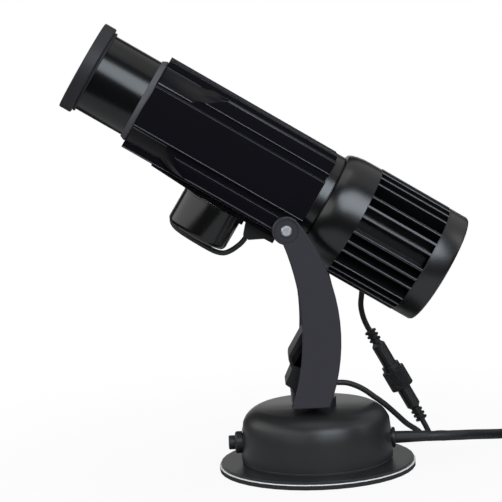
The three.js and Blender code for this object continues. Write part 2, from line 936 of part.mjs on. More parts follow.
function addPlug() {
  const place = group(projector, coil_x + mains_diameter + seat_gap, coil_y + tail_radius, tail_z);
  const half = plug_width / 2;
  const neck = plug_cord_width / 2;
  const shoulder = plug_length * plug_shoulder_share;
  const outline = shapeOf([
    [0, -neck],
    [shoulder, -half],
    [plug_length, -half],
    [plug_length, half],
    [shoulder, half],
    [0, neck],
  ]);
  const body = extruded(outline, plug_height, plug_bevel).translate(0, 0, -plug_height / 2);
  const seatFloor = plug_length - pin_seat;
  const seats = [-1, 1].map((side) => {
    const seat = alongX(disc(pin_radius + seat_gap, seatFloor, plug_length + overrun, small_steps));
    return seat.translate(0, (side * pin_spacing) / 2, 0);
  });
  add(place, 'plug_body', cut(body, ...seats), 'satin_black');
  [-1, 1].forEach((side, i) => {
    const pin = alongX(disc(pin_radius, seatFloor + seat_gap, plug_length + pin_length, small_steps));
    add(place, `plug_pin_${i + 1}`, pin.translate(0, (side * pin_spacing) / 2, 0), 'brass');
  });
}

function addPedestal() {
  const hole = bolt_radius + seat_gap;
  const pedestal = turned([
    [hole, dome_top_z],
    [pedestal_radius, dome_top_z],
    [pedestal_radius, yoke_z - pedestal_bevel],
    [pedestal_radius - pedestal_bevel, yoke_z],
    [hole, yoke_z],
  ], round_steps);
  add(projector, 'pedestal', pedestal, 'dome_black');
  const nut_top = dome_top_z - dome_wall - seat_gap;
  const bolt = turned([
    [bolt_bore_radius, nut_top - stud_nut_height - bolt_tail],
    [bolt_radius, nut_top - stud_nut_height - bolt_tail],
    [bolt_radius, web_top_z + seat_gap],
    [bolt_head_radius, web_top_z + seat_gap],
    [bolt_head_radius, web_top_z + seat_gap + bolt_head_height / 2],
    [bolt_head_radius - bolt_head_height / 2, web_top_z + seat_gap + bolt_head_height],
    [bolt_bore_radius, web_top_z + seat_gap + bolt_head_height],
  ], small_steps);
  add(projector, 'hollow_bolt', bolt, 'zinc');
  const nut = cut(
    disc(stud_nut_radius, nut_top - stud_nut_height, nut_top, hex_sides),
    disc(hole, nut_top - stud_nut_height - overrun, nut_top + overrun, small_steps),
  );
  add(projector, 'stud_nut', nut, 'zinc');
}

// The arm seen from the side, with its front and rear edges as arcs that end on the boss
function armOutline() {
  const onBoss = (angle) => [
    -pivot_ahead + boss_radius * Math.cos(angle * deg),
    pivot_z + boss_radius * Math.sin(angle * deg),
  ];
  const front = arcBetween([-foot_front, yoke_z], onBoss(boss_front_deg), arm_front_radius, arm_arc_steps);
  const rear = arcBetween([foot_rear, yoke_z], onBoss(boss_rear_deg), arm_rear_radius, arm_arc_steps);
  const around = arc(-pivot_ahead, pivot_z, boss_radius, boss_rear_deg, 360 + boss_front_deg, boss_arc_steps);
  return [...rear, ...around.slice(1, -1), ...front.reverse()];
}

function yokeArm(side) {
  const centre = side * (arm_inner + arm_thickness / 2);
  const inward = arm_inner - corner_face - boss_face_gap;
  const arm = uprightPlate(armOutline(), arm_thickness, arm_bevel).translate(0, centre, 0);
  const place = (geometry) => geometry.translate(-pivot_ahead, 0, pivot_z);
  const y0 = side * (arm_inner - inward);
  const y1 = side * (arm_inner + arm_thickness / 2);
  const hub = place(alongY(disc(boss_radius - arm_bevel, Math.min(y0, y1), Math.max(y0, y1), round_steps)));
  const holeEnd = arm_outer + overrun;
  const hole = place(alongY(disc(tilt_screw_radius + seat_gap, -holeEnd, holeEnd, small_steps)));
  const d0 = side * (arm_outer - dish_depth);
  const d1 = side * (arm_outer + overrun);
  const dish = place(alongY(disc(dish_radius, Math.min(d0, d1), Math.max(d0, d1), round_steps)));
  return cut(joined(arm, hub), hole, dish);
}

function addYoke() {
  const web = block(-foot_front, foot_rear, -arm_inner - web_blend, arm_inner + web_blend, yoke_z, web_top_z);
  const hole = disc(bolt_radius + seat_gap, yoke_z - overrun, web_top_z + overrun, small_steps);
  add(projector, 'yoke', cut(joined(web, yokeArm(-1), yokeArm(1)), hole), 'matte_black');
}

function addBrace() {
  const point = ([forward, up]) => [-foot_front * forward, web_top_z + brace_height * up];
  const body = uprightPlate([...brace_front_shares, ...brace_rear_shares].map(point), brace_width);
  const pockets = [-1, 1].map((side) => {
    const pocket = uprightPlate(brace_recess_shares.map(point), brace_recess_depth + overrun);
    return pocket.translate(0, (side * (brace_width + overrun - brace_recess_depth)) / 2, 0);
  });
  add(projector, 'yoke_brace', cut(body, ...pockets), 'satin_black');
}

function addTiltScrews() {
  [-1, 1].forEach((side, i) => {
    const seat = arm_outer - dish_depth + seat_gap;
    const length = seat - corner_face + tilt_screw_bite;
    const half = cross_length / 2;
    const slot = cross_width / 2;
    const top = tilt_head_height + overrun;
    const body = cut(
      screw(tilt_head_radius, tilt_head_height, tilt_screw_radius, length),
      block(-half, half, -slot, slot, tilt_head_height - cross_depth, top),
      block(-slot, slot, -half, half, tilt_head_height - cross_depth, top),
    );
    const place = group(head, 0, side * seat, 0);
    const mesh = add(place, `tilt_screw_${i + 1}`, body, 'steel');
    mesh.rotation.x = (-side * Math.PI) / 2;
  });
}

// Ribbed strain relief of a connector half, growing from z = 0 upwards
function ribbedOutline() {
  const step = rib_zone_length / rib_count;
  const outline = [[0, 0]];
  for (let i = 0; i < rib_count; i += 1) {
    const z = i * step;
    const [rise, top, fall] = rib_shares.map((share) => z + step * share);
    outline.push([rib_root_radius, z], [rib_radius, rise], [rib_radius, top], [rib_root_radius, fall]);
  }
  outline.push([rib_root_radius, rib_zone_length], [connector_radius, rib_zone_length + rib_cone_length]);
  return outline;
}

// Local +Z runs down the connector, from the head's lead to the base's lead
function addConnector() {
  const place = group(projector, connector_x, connector_y, connector_z, Math.PI - connector_lean_deg * deg);
  const collar = plug_half_length - collar_length;
  const shoulder_end = nut_start - seat_gap;
  const plug = turned([
    ...ribbedOutline(),
    [connector_radius, shoulder_end - shoulder_length],
    [shoulder_radius, shoulder_end - shoulder_length],
    [shoulder_radius, shoulder_end],
    [connector_radius, shoulder_end],
    [connector_radius, collar],
    [collar_radius, collar],
    [collar_radius, plug_half_length],
    [0, plug_half_length],
  ], small_steps);
  add(place, 'connector_plug', plug, 'satin_black');
  const thread = socket_half_length - socket_thread_length;
  const socket = turned([
    ...ribbedOutline(),
    [connector_radius, thread],
    [collar_radius, thread],
    [collar_radius, socket_half_length],
    [0, socket_half_length],
  ], small_steps);
  const lower = group(place, 0, 0, plug_half_length + seat_gap + socket_half_length);
  lower.rotation.x = Math.PI;
  add(lower, 'connector_socket', socket, 'satin_black');
  const ridges = Array.from({ length: 2 * nut_ridge_count }, (_, i) => {
    const a = (Math.PI * i) / nut_ridge_count;
    const r = nut_radius - (i % 2) * nut_ridge_depth;
    return [r * Math.cos(a), r * Math.sin(a)];
  });
  const nut = cut(
    extruded(shapeOf(ridges), nut_length, nut_ridge_depth),
    disc(nut_bore_radius, -overrun, nut_length + overrun, small_steps),
  );
  add(place, 'connector_nut', nut.translate(0, 0, nut_start), 'satin_black');
}

function addLampLeads() {
  add(projector, 'base_lead', tubeAlong(base_lead_route, lead_radius, lead_sides, base_lead_steps), 'cord');
  add(projector, 'head_lead', tubeAlong(head_lead_route, lead_radius, lead_sides, head_lead_steps), 'cord');
}

// The head turns about its origin, which is the tilt pivot, with +X to the rear of the barrel.
// In axisFrame z = 0 is the optical axis, and in barrel +Z runs along it to the rear.
const head = group(projector, -pivot_ahead, 0, pivot_z, rest_tilt_deg * deg);
const axisFrame = group(head, 0, 0, optical_height);
const barrel = group(axisFrame, 0, 0, 0, Math.PI / 2);

// Cross-section of the extruded housing: four raised panels and four square corner pieces
function housingSection() {
  const b = edge_bevel;
  const quarter = [
    [panel_face, panel_half - b],
    [panel_face - b, panel_half],
    [groove_floor, panel_half],
    [groove_floor, groove_outer],
    [corner_face - b, groove_outer],
    [corner_face, groove_outer + b],
    [corner_face, corner_face - b],
    [corner_face - b, corner_face],
    [groove_outer + b, corner_face],
    [groove_outer, corner_face - b],
    [groove_outer, groove_floor],
    [panel_half, groove_floor],
    [panel_half, panel_face - b],
    [panel_half - b, panel_face],
  ];
  const turns = [([x, y]) => [x, y], ([x, y]) => [-y, x], ([x, y]) => [-x, -y], ([x, y]) => [y, -x]];
  return turns.flatMap((turn) => quarter.map(turn));
}

function addHousing() {
  const section = extruded(shapeOf(housingSection()), housing_length).translate(0, 0, housing_front);
  const nose_end = housing_front + nose_length;
  const turnedPart = turned([
    [0, housing_front],
    [nose_radius - nose_bevel, housing_front],
    [nose_radius, housing_front + nose_bevel],
    [nose_radius, nose_end],
    [full_radius, nose_end + cone_length],
    [full_radius, housing_rear],
    [0, housing_rear],
  ], big_steps);
  const acrossPanels = block(-full_radius, full_radius, -panel_half, panel_half, housing_front, housing_rear);
  const alongPanels = acrossPanels.clone().rotateZ(Math.PI / 2);
  const shell = within(section, joined(turnedPart, acrossPanels, alongPanels));
  const bore = disc(bore_radius, housing_front - overrun, housing_rear + overrun, big_steps);
  const wallReach = panel_face + overrun;
  const shaftHole = alongX(disc(rail_hole_radius, 0, wallReach, small_steps)).translate(0, 0, motor_x);
  const screwHoles = [-1, 1].map((side) => {
    const depth = tilt_screw_bite + 2 * seat_gap;
    const holeRadius = tilt_screw_radius + seat_gap;
    const hole = alongY(disc(holeRadius, corner_face - depth, corner_face + overrun, small_steps));
    if (side < 0) hole.rotateX(Math.PI);
    return hole.translate(optical_height, 0, 0);
  });
  const gland = alongY(disc(head_gland_spigot_radius + seat_gap, 0, wallReach, small_steps));
  gland.translate(0, 0, -head_gland_ahead);
  add(barrel, 'housing', cut(shell, bore, shaftHole, ...screwHoles, gland), 'anodised');
}

function addCollars() {
  const front = turned([
    [bore_radius, collar_front],
    [front_collar_tip, collar_front],
    [front_collar_radius, collar_rear - nose_bevel],
    [front_collar_radius, collar_rear],
    [bore_radius, collar_rear],
  ], big_steps);
  add(barrel, 'front_collar', front, 'gloss_black');
  const end = rear_ring_start + rear_ring_length;
  const inner = rear_ring_radius - rear_ring_wall;
  const rear = turned([
    [inner, rear_ring_start],
    [rear_ring_radius, rear_ring_start],
    [rear_ring_radius, end - joint_bevel],
    [rear_ring_radius - joint_bevel, end],
    [inner, end],
  ], big_steps);
  add(barrel, 'rear_collar', rear, 'gloss_black');
}

function addBell() {
  const swell = bell_radius - bell_start_radius;
  const roundPoint = (share, wall) => [
    bell_start_radius + swell * Math.sqrt(1 - (1 - share) ** 2) - wall,
    bell_start + bell_round_length * share,
  ];
  const outer = [[bell_start_radius - joint_bevel, bell_start]];
  const inner = [];
  for (let i = 0; i <= bell_rings; i += 1) {
    const share = 1 - Math.cos((Math.PI / 2) * (i / bell_rings));
    if (i > 0) outer.push(roundPoint(share, 0));
    if (i % 2 === 1) inner.push(roundPoint(share, bell_wall));
  }
  outer.push([bell_radius, bell_end]);
  inner.push([bell_radius - bell_wall, bell_end]);
  inner.unshift([bell_start_radius - bell_wall, bell_start]);
  add(barrel, 'rear_bell', turned([...outer, ...inner.reverse()], big_steps), 'gloss_black');
}

// Fins stand in groups of three round a solid core
function sinkOutline() {
  const half = fin_thickness / 2;
  const fins = Array.from({ length: fin_group_count * 3 }, (_, i) => {
    const withinGroup = (i % 3) - 1;
    return fin_first_deg + Math.floor(i / 3) * fin_group_deg + withinGroup * fin_pitch_deg;
  });
  const base = Math.sqrt(sink_core_radius ** 2 - half ** 2);
  const tip = Math.sqrt(sink_radius ** 2 - half ** 2);
  return fins.flatMap((angle, i) => {
    const next = i + 1 < fins.length ? fins[i + 1] : fins[0] + 360;
    const a = (angle - 90) * deg;
    const spoke = (along, across) => [
      along * Math.cos(a) - across * Math.sin(a),
      along * Math.sin(a) + across * Math.cos(a),
    ];
    const between = ((angle + next) / 2 - 90) * deg;
    const floor = [sink_core_radius * Math.cos(between), sink_core_radius * Math.sin(between)];
    return [spoke(base, -half), spoke(tip, -half), spoke(sink_radius, 0), spoke(tip, half), spoke(base, half), floor];
  });
}

function capScrewPlaces() {
  return Array.from({ length: cap_screw_count }, (_, i) => {
    const a = ((i + 0.5) * 2 * Math.PI) / cap_screw_count;
    return [cap_screw_circle * Math.cos(a), cap_screw_circle * Math.sin(a)];
  });
}

function addSinkAndCap() {
  const holeRadius = cap_screw_radius + seat_gap;
  const holes = capScrewPlaces().map(([x, y]) =>
    disc(holeRadius, sink_end - cap_screw_bite - seat_gap, sink_end + overrun, screw_steps).translate(x, y, 0),
  );
  const sink = extruded(shapeOf(sinkOutline()), sink_length).translate(0, 0, sink_start);
  add(barrel, 'heat_sink', cut(sink, ...holes), 'anodised');
  const inside = cap_end - cap_wall;
  const shell = turned([
    [cap_radius - cap_wall, cap_start],
    [cap_radius - joint_bevel, cap_start],
    [cap_radius, cap_start + joint_bevel],
    [cap_radius, cap_end - cap_round],
    [cap_radius - cap_round * cap_round_share, cap_end - cap_round * cap_round_share],
    [cap_radius - cap_round, cap_end],
    [0, cap_end],
    [0, inside],
    [cap_radius - cap_wall, inside],
  ], big_steps);
  const posts = capScrewPlaces().map(([x, y]) =>
    disc(cap_post_radius, cap_start, inside + cap_wall / 2, screw_steps).translate(x, y, 0),
  );
  const through = capScrewPlaces().map(([x, y]) =>
    disc(holeRadius, cap_start - overrun, cap_end + overrun, screw_steps).translate(x, y, 0),
  );
  add(barrel, 'rear_cap', cut(joined(shell, ...posts), ...through), 'satin_black');
  capScrewPlaces().forEach(([x, y], i) => {
    const length = cap_length + seat_gap + cap_screw_bite;
    const body = screw(cap_screw_head_radius, cap_screw_head_height, cap_screw_radius, length);
    const mesh = add(barrel, `cap_screw_${i + 1}`, body, 'steel');
    mesh.position.set(x, y, cap_end + seat_gap);
  });
}

function addLamp() {
  const back = sink_start - seat_gap;
  const chip = joined(
    disc(led_board_radius, back - led_board_height, back, round_steps),
    disc(led_chip_radius, back - led_board_height - led_chip_height, back - led_board_height / 2, round_steps),
  );
  add(barrel, 'led_module', chip, 'led_yellow');
  const front = back - holder_length;
  const inner = holder_radius - holder_wall;
  const seat = front + holder_lip_length;
  const holder = turned([
    [inner - holder_lip, front],
    [holder_radius, front],
    [holder_radius, back - holder_flange_length],
    [holder_flange_radius, back - holder_flange_length],
    [holder_flange_radius, back],
    [inner, back],
    [inner, seat],
    [inner - holder_lip, seat],
  ], round_steps);
  add(barrel, 'lamp_holder', holder, 'case_grey');
  const lens = lensOutline(
    inner - lens_edge_gap, seat + condenser_setback, condenser_edge, condenser_bulge, condenser_bulge,
  );
  add(barrel, 'condenser_lens', turned(lens, round_steps), 'glass');
}

function addHeadGland() {
  const face = panel_face + seat_gap;
  const gland = turned([
    [0, panel_face - head_gland_spigot_length],
    [head_gland_spigot_radius, panel_face - head_gland_spigot_length],
    [head_gland_spigot_radius, face],
    [head_gland_radius, face],
    [head_gland_radius, face + head_gland_flange],
    [head_gland_tip_radius, face + head_gland_length],
    [0, face + head_gland_length],
  ], small_steps);
  add(barrel, 'head_gland', alongY(gland).translate(0, 0, -head_gland_ahead), 'satin_black');
}

// The focus tube with its lens ring slides in the housing's bore
function addFocusTube() {
  const tube_inner = tube_radius - tube_wall;
  const lens_rear = tube_rear - rear_lens_from_end;
  const step_start = lens_rear - seat_gap - tube_step_length;
  const tube = turned([
    [tube_inner, tube_front],
    [tube_radius, tube_front],
    [tube_radius, tube_rear],
    [tube_inner, tube_rear],
    [tube_inner, lens_rear - seat_gap],
    [tube_step_radius, lens_rear - seat_gap],
    [tube_step_radius, step_start],
    [tube_inner, step_start],
  ], big_steps);
  add(barrel, 'focus_tube', tube, 'gloss_black');
  const sleeve = tube_radius + seat_gap;
  const flange_rear = ring_front + flange_length;
  const g = ring_groove_depth;
  const w = ring_groove_width;
  const lensRing = turned([
    [aperture_radius, ring_front],
    [flange_radius - flange_bevel, ring_front],
    [flange_radius, ring_front + flange_bevel],
    [flange_radius, flange_rear - flange_bevel],
    [flange_radius - flange_bevel, flange_rear],
    [step_ring_radius, flange_rear],
    [step_ring_radius - g, flange_rear + w],
    [step_ring_radius, flange_rear + 2 * w],
    [step_ring_radius, ring_rear - w],
    [step_ring_radius - g, ring_rear],
    [sleeve, ring_rear],
    [sleeve, tube_front - seat_gap],
    [front_lens_radius + lens_edge_gap, tube_front - seat_gap],
    [front_lens_radius + lens_edge_gap, lens_seat],
    [aperture_radius, lens_seat],
  ], big_steps);
  add(barrel, 'lens_ring', lensRing, 'satin_black');
  const frontLens = lensOutline(front_lens_radius, front_lens_start, front_lens_edge, front_lens_bulge, 0);
  add(barrel, 'front_lens', turned(frontLens, round_steps), 'glass');
  const retainerStart = front_lens_end + seat_gap;
  const retainer = ring(
    retainer_inner_radius, front_lens_radius, retainerStart, retainerStart + retainer_length, round_steps,
  );
  add(barrel, 'lens_retainer', retainer, 'satin_black');
  const rearRadius = tube_inner - lens_edge_gap;
  const rearLens = lensOutline(rearRadius, lens_rear, rear_lens_edge, rear_lens_bulge, rear_lens_bulge);
  add(barrel, 'rear_lens', turned(rearLens, round_steps), 'glass');
  const ringStart = lens_rear + rear_lens_edge + seat_gap;
  const lensClamp = ring(
    tube_step_radius, rearRadius, ringStart, ringStart + rear_lens_ring_length, round_steps,
  );
  add(barrel, 'rear_lens_ring', lensClamp, 'satin_black');
}

// One trapezoid tooth of the crown gear, pointing along +Z at angle 0
function crownTooth() {
  const pitch = (2 * Math.PI) / crown_teeth;
  const root = crown_root - gear_module * dedendum_share * tooth_seat_share;
  const tip = crown_pitch + gear_module * addendum_share;
  const corners = [];
  [[root, tooth_root_share], [tip, tooth_tip_share]].forEach(([z, share]) => {
    [crown_inner_radius, crown_outer_radius].forEach((r) => {
      [-1, 1].forEach((side) => {
        const a = side * pitch * share;
        corners.push(new THREE.Vector3(r * Math.cos(a), r * Math.sin(a), z));
      });
    });
  });
  const faces = [
    [0, 1, 3, 2], [4, 6, 7, 5], [0, 4, 5, 1], [2, 3, 7, 6], [0, 2, 6, 4], [1, 5, 7, 3],
  ];
  const geometry = new THREE.BufferGeometry().setFromPoints(corners);
  geometry.setIndex(faces.flatMap(([a, b, c, d]) => [a, b, c, a, c, d]));
  return geometry;
}

function addCarrier() {
  const front = carrier_rear - carrier_thickness;
  const floor = carrier_rear - carrier_seat_depth;
  const body = turned([
    [carrier_aperture, front],
    [carrier_radius, front],
    [carrier_radius, carrier_rear],
    [carrier_seat_radius, carrier_rear],
    [carrier_seat_radius, floor],
    [carrier_aperture, floor],
  ], big_steps);
  const teeth = Array.from({ length: crown_teeth }, (_, i) =>
    crownTooth().rotateZ(((i + 0.5) * 2 * Math.PI) / crown_teeth),
  );
  add(barrel, 'gobo_carrier', joined(body, ...teeth), 'nylon');
  const circle = (x, y, r, steps) => arc(x, y, r, 0, 360 - 360 / steps, steps - 1);
  const shape = shapeOf(circle(0, 0, gobo_radius, round_steps));
  const hole = (x, y, r) => shape.holes.push(shapeOf(circle(x, y, r, gobo_hole_steps)));
  hole(0, 0, gobo_hub_radius);
  for (let i = 0; i < gobo_ring_count; i += 1) {
    const a = (2 * Math.PI * i) / gobo_ring_count;
    const between = a + Math.PI / gobo_ring_count;
    hole(gobo_inner_ring * Math.cos(a), gobo_inner_ring * Math.sin(a), gobo_hole_radius);
    hole(gobo_outer_ring * Math.cos(between), gobo_outer_ring * Math.sin(between), gobo_hole_radius);
  }
  const gobo_start = floor + seat_gap;
  add(barrel, 'gobo_disc', extruded(shape, gobo_thickness).translate(0, 0, gobo_start), 'steel');
  const clip_start = gobo_start + gobo_thickness + seat_gap;
  const clip = ring(clip_inner_radius, gobo_radius, clip_start, clip_start + clip_thickness, round_steps);
  add(barrel, 'gobo_clip', clip, 'steel');
}

function addBearing() {
  const front = carrier_rear - carrier_thickness;
  const outer = bore_radius - seat_gap;
  const bearing = turned([
    [bearing_lip_radius, front - seat_gap - bearing_lip],
    [outer, front - seat_gap - bearing_lip],
    [outer, carrier_rear],
    [outer - bearing_wall, carrier_rear],
    [outer - bearing_wall, front - seat_gap],
    [bearing_lip_radius, front - seat_gap],
  ], big_steps);
  add(barrel, 'gobo_bearing', bearing, 'nylon');
}

function pinionOutline() {
  const pitchAngle = (2 * Math.PI) / pinion_teeth;
  const levels = [
    [pinion_pitch_radius - dedendum_share * gear_module, tooth_root_share],
    [pinion_pitch_radius, tooth_half_share],
    [pinion_pitch_radius + addendum_share * gear_module, tooth_tip_share],
  ];
  return Array.from({ length: pinion_teeth }, (_, i) => i * pitchAngle + Math.PI).flatMap((middle) => {
    const point = ([r, share], side) => {
      const a = middle + side * share * pitchAngle;
      return [r * Math.cos(a), r * Math.sin(a)];
    };
    return [...levels.map((level) => point(level, -1)), ...levels.map((level) => point(level, 1)).reverse()];
  });
}

// The motor stands under the barrel with its shaft up through the rail and the housing
function addMotor() {
  const place = group(axisFrame, motor_x, 0, 0);
  const middle = -crown_pitch_radius;
  const pinionShape = shapeOf(pinionOutline());
  const pinion = cut(
    extruded(pinionShape, pinion_width).translate(0, 0, middle - pinion_width / 2),
    disc(shaft_radius + seat_gap, middle - pinion_width, middle + pinion_width, small_steps),
  );
  add(place, 'drive_pinion', pinion, 'nylon');
  const motor_top = rail_bottom - seat_gap;
  const shaft = disc(
    shaft_radius, motor_top - motor_height / 2, middle + pinion_width / 2 + seat_gap, small_steps,
  );
  add(place, 'motor_shaft', shaft, 'steel');
  const motor = cut(
    disc(motor_radius, motor_top - motor_height, motor_top, round_steps),
    disc(shaft_radius + seat_gap, motor_top - motor_height / 2 - seat_gap, motor_top + overrun, small_steps),
  );
  add(place, 'motor', motor, 'zinc');
}

function addRailAndCup() {
  const rail_rear = housing_rear - rail_setback;
  const rail_front = rail_rear - rail_length;
  const side = [
    [rail_front, rail_top],
    [rail_front, rail_top - rail_tip_thickness],
    [rail_front + rail_taper_length, rail_bottom],
    [rail_rear, rail_bottom],
    [rail_rear, rail_top],
  ];
  const rail = cut(
    uprightPlate(side, 2 * panel_half),
    disc(rail_hole_radius, rail_bottom - overrun, rail_top + overrun, small_steps).translate(motor_x, 0, 0),
  );
  add(axisFrame, 'under_rail', rail, 'satin_black');
  const bottom = cup_top - cup_depth;
  const cup = turned([
    [0, bottom],
    [cup_radius - cup_round, bottom],
    ...arc(cup_radius - cup_round, bottom + cup_round, cup_round, -cup_round_deg, 0, cup_round_steps),
    [cup_radius, cup_top - cup_lip_height],
    [cup_lip_radius, cup_top - cup_lip_height],
    [cup_lip_radius, cup_top],
    [cup_radius - cup_wall, cup_top],
    [cup_radius - cup_wall, bottom + cup_wall],
    [0, bottom + cup_wall],
  ], round_steps);
  const ear = block(
    cup_radius - cup_wall / 2, ear_reach, -ear_width / 2, ear_width / 2, cup_top - ear_height, cup_top,
  );
  const leadHole = alongX(disc(motor_lead_radius + seat_gap, motor_radius, cup_radius + overrun, screw_steps));
  leadHole.rotateZ(lead_hole_deg * deg).translate(0, 0, cup_top - lead_hole_drop);
  const place = group(axisFrame, motor_x, 0, 0);
  add(place, 'motor_cup', cut(joined(cup, ear), leadHole), 'satin_black');
}

function addMotorLead() {
  const entry_front = motor_x + entry_behind_motor;
  const entry_length = housing_rear - rail_setback - entry_front;
  const point = ([back, down]) => [entry_front + entry_length * back, cup_top - entry_drop * down];
  const entry = uprightPlate(entry_shares.map(point), entry_width);
  add(axisFrame, 'cable_entry', entry, 'satin_black');
  const place = group(axisFrame, motor_x, 0, 0);
  const lead = tubeAlong(motor_lead_route, motor_lead_radius, lead_sides, motor_lead_steps);
  add(place, 'motor_lead', lead, 'cord');
}

addBase();
addSwitch();
addMainsGland();
addMainsLead();
addTie();
addPlug();
addPedestal();
addYoke();
addBrace();
addTiltScrews();
addConnector();
addLampLeads();
addHousing();
addCollars();
addBell();
addSinkAndCap();
addLamp();
addHeadGland();
addFocusTube();
addCarrier();
addBearing();
addMotor();
addRailAndCup();
addMotorLead();

export default projector;
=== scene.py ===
"""Looks of the gobo projector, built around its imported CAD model. Metres, +Z up."""

import json
import math

import bmesh
import bpy
from mathutils import Matrix, Vector


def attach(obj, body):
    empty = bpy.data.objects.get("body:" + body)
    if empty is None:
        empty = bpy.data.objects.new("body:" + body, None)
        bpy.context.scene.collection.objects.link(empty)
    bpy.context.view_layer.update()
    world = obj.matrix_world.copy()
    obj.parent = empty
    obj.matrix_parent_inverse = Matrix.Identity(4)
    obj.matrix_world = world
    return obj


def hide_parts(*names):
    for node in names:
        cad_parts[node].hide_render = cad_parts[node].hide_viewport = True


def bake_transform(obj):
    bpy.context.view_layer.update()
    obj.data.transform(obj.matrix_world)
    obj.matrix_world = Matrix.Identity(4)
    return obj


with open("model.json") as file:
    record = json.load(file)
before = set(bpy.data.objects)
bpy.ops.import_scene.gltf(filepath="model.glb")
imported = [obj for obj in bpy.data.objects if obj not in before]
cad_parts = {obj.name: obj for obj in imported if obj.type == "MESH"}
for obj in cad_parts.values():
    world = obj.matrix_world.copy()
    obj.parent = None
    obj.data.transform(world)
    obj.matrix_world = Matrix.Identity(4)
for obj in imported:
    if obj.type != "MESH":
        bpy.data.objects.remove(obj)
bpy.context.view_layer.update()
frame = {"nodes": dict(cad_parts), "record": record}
nodes = frame["nodes"]
scene = bpy.context.scene
scene.view_settings.view_transform = "Standard"

MM = 0.001


# Camera at the photograph's viewing angle

CAMERA_PLACE = Vector((-42.9, -1554.7, 384.3)) * MM
CAMERA_PITCH = math.radians(8.11)
CAMERA_ROLL = math.radians(2.38)
FOCAL_PIXELS = 2150.0
IMAGE_SIDE = 502.0
SENSOR_WIDTH = 36.0
FAR_CLIP = 100


def add_camera():
    data = bpy.data.cameras.new("camera")
    data.sensor_fit = "HORIZONTAL"
    data.sensor_width = SENSOR_WIDTH
    data.lens = SENSOR_WIDTH * FOCAL_PIXELS / IMAGE_SIDE
    data.clip_end = FAR_CLIP
    camera = bpy.data.objects.new("camera", data)
    scene.collection.objects.link(camera)
    pitch = Matrix.Rotation(math.pi / 2 - CAMERA_PITCH, 4, "X")
    roll = Matrix.Rotation(-CAMERA_ROLL, 4, "Z")
    camera.matrix_world = Matrix.Translation(CAMERA_PLACE) @ pitch @ roll
    scene.camera = camera


# Places on the tilted barrel, in millimetres

TILT_REST = math.radians(32.3)
PIVOT = Vector((-17.2, 0, 181.9))
OPTICAL_HEIGHT = 27.1
MOTOR_X = -52.6


def barrel_frame(station=0.0):
    """From (along the barrel to the rear, across, above the optical axis) to the row frame.

    The first of these counts from a station along the barrel, and the tilt axis is at 0.
    """
    turn = Matrix.Rotation(TILT_REST, 4, "Y")
    return Matrix.Translation(PIVOT) @ turn @ Matrix.Translation((station, 0, OPTICAL_HEIGHT))


def barrel_direction(along, across, up):
    return barrel_frame().to_3x3() @ Vector((along, across, up))


# Leads: the same routes as the CAD model's, in millimetres

# Its first point is moved into the strain relief, so that no seam shows where the lead comes out
MAINS_ROUTE = [
    (80.9, 0, 19.15), (82.7, 0, 19.1), (88.9, 0.6, 18.9), (95.7, 2.4, 18.4), (102, 5.4, 17.7),
    (107.7, 9.4, 16.7), (112.6, 14.3, 15.6), (120.4, 23.5, 13.4), (127.4, 31.9, 11.3), (134.5, 40.3, 9.2),
    (142.2, 49.5, 7), (147.1, 54.4, 5.9), (152.8, 58.4, 5.3), (159.1, 61.4, 5.1), (165.9, 63.2, 5.1),
    (172.8, 63.8, 5.1), (182, 63.8, 5.1), (192.1, 63.8, 5.1),
]
BASE_LEAD_ROUTE = [
    (-1.8, 0, 28.1), (-1.8, 0, 42), (-1.8, 0, 54.3), (-0.9, 0, 58.3), (2, 0, 61.2), (6, 0, 62.4),
    (11, 1, 62.5), (16, 2, 62), (24, 3.5, 61), (32, 5.5, 57.6), (38, 7, 53.7), (43.9, 8, 48.9),
    (48, 9.5, 45.5), (52, 11.5, 41.9), (60.2, 18, 33), (68.6, 25.5, 23.6), (77, 34.5, 16), (80.6, 45, 10.6),
    (82, 56, 6.3), (83.6, 66, 3.2), (88.3, 76.3, 2.2), (96.8, 81, 2.2), (104.8, 78.6, 2.2),
    (107.6, 71.5, 2.2), (104.2, 64.9, 2.2), (98.2, 62.4, 2.4), (93.2, 61.4, 3.6), (89.4, 59, 6.2),
    (87.2, 56.2, 9.8), (85.3, 55.1, 14), (82.8, 55, 19),
]
HEAD_LEAD_ROUTE = [
    (-6.9, 46.6, 207.4), (-6.7, 50.5, 207.3), (-4.6, 54.6, 204.9), (0, 56.6, 199.8), (7, 57.4, 191.4),
    (16, 57.4, 180), (26, 57, 166), (34.5, 56.4, 151), (39.6, 55.6, 136), (40.4, 55.1, 127),
    (39.6, 55, 118.6), (38.7, 55, 110.1), (40.1, 55, 101.2), (42.6, 55, 94.4), (44.65, 55, 90.5),
]
# From the motor's axis: along the barrel, across, above the optical axis
MOTOR_LEAD_ROUTE = [
    (-11.7, 15.6, -58), (-13.8, 18.4, -58), (-16, 21.3, -58.2), (-18.4, 24.4, -59.6), (-20, 26.2, -62.8),
    (-20.2, 25.6, -66.6), (-18.6, 22.6, -69.6), (-15, 18, -71.2), (-9.4, 13.6, -71.7), (-2.4, 10.6, -71.8),
    (5.4, 8.4, -71.7), (14.1, 6.2, -71.4), (20.2, 4.6, -70.6), (25, 3.2, -68.4), (28.2, 2, -64.4),
    (30.4, 1, -59.8), (32, 0.3, -55.2), (32.7, 0, -50.9),
]
MAINS_DIAMETER = 7.6
LEAD_DIAMETER = 4.2
MOTOR_LEAD_DIAMETER = 3.9
MAINS_STEP = 2.5
LEAD_STEP = 1.2
CORD_SIDES = 16
# Between the angle from side to side of a tube and that at the rims of its ends
CORD_END_ANGLE = math.radians(50)

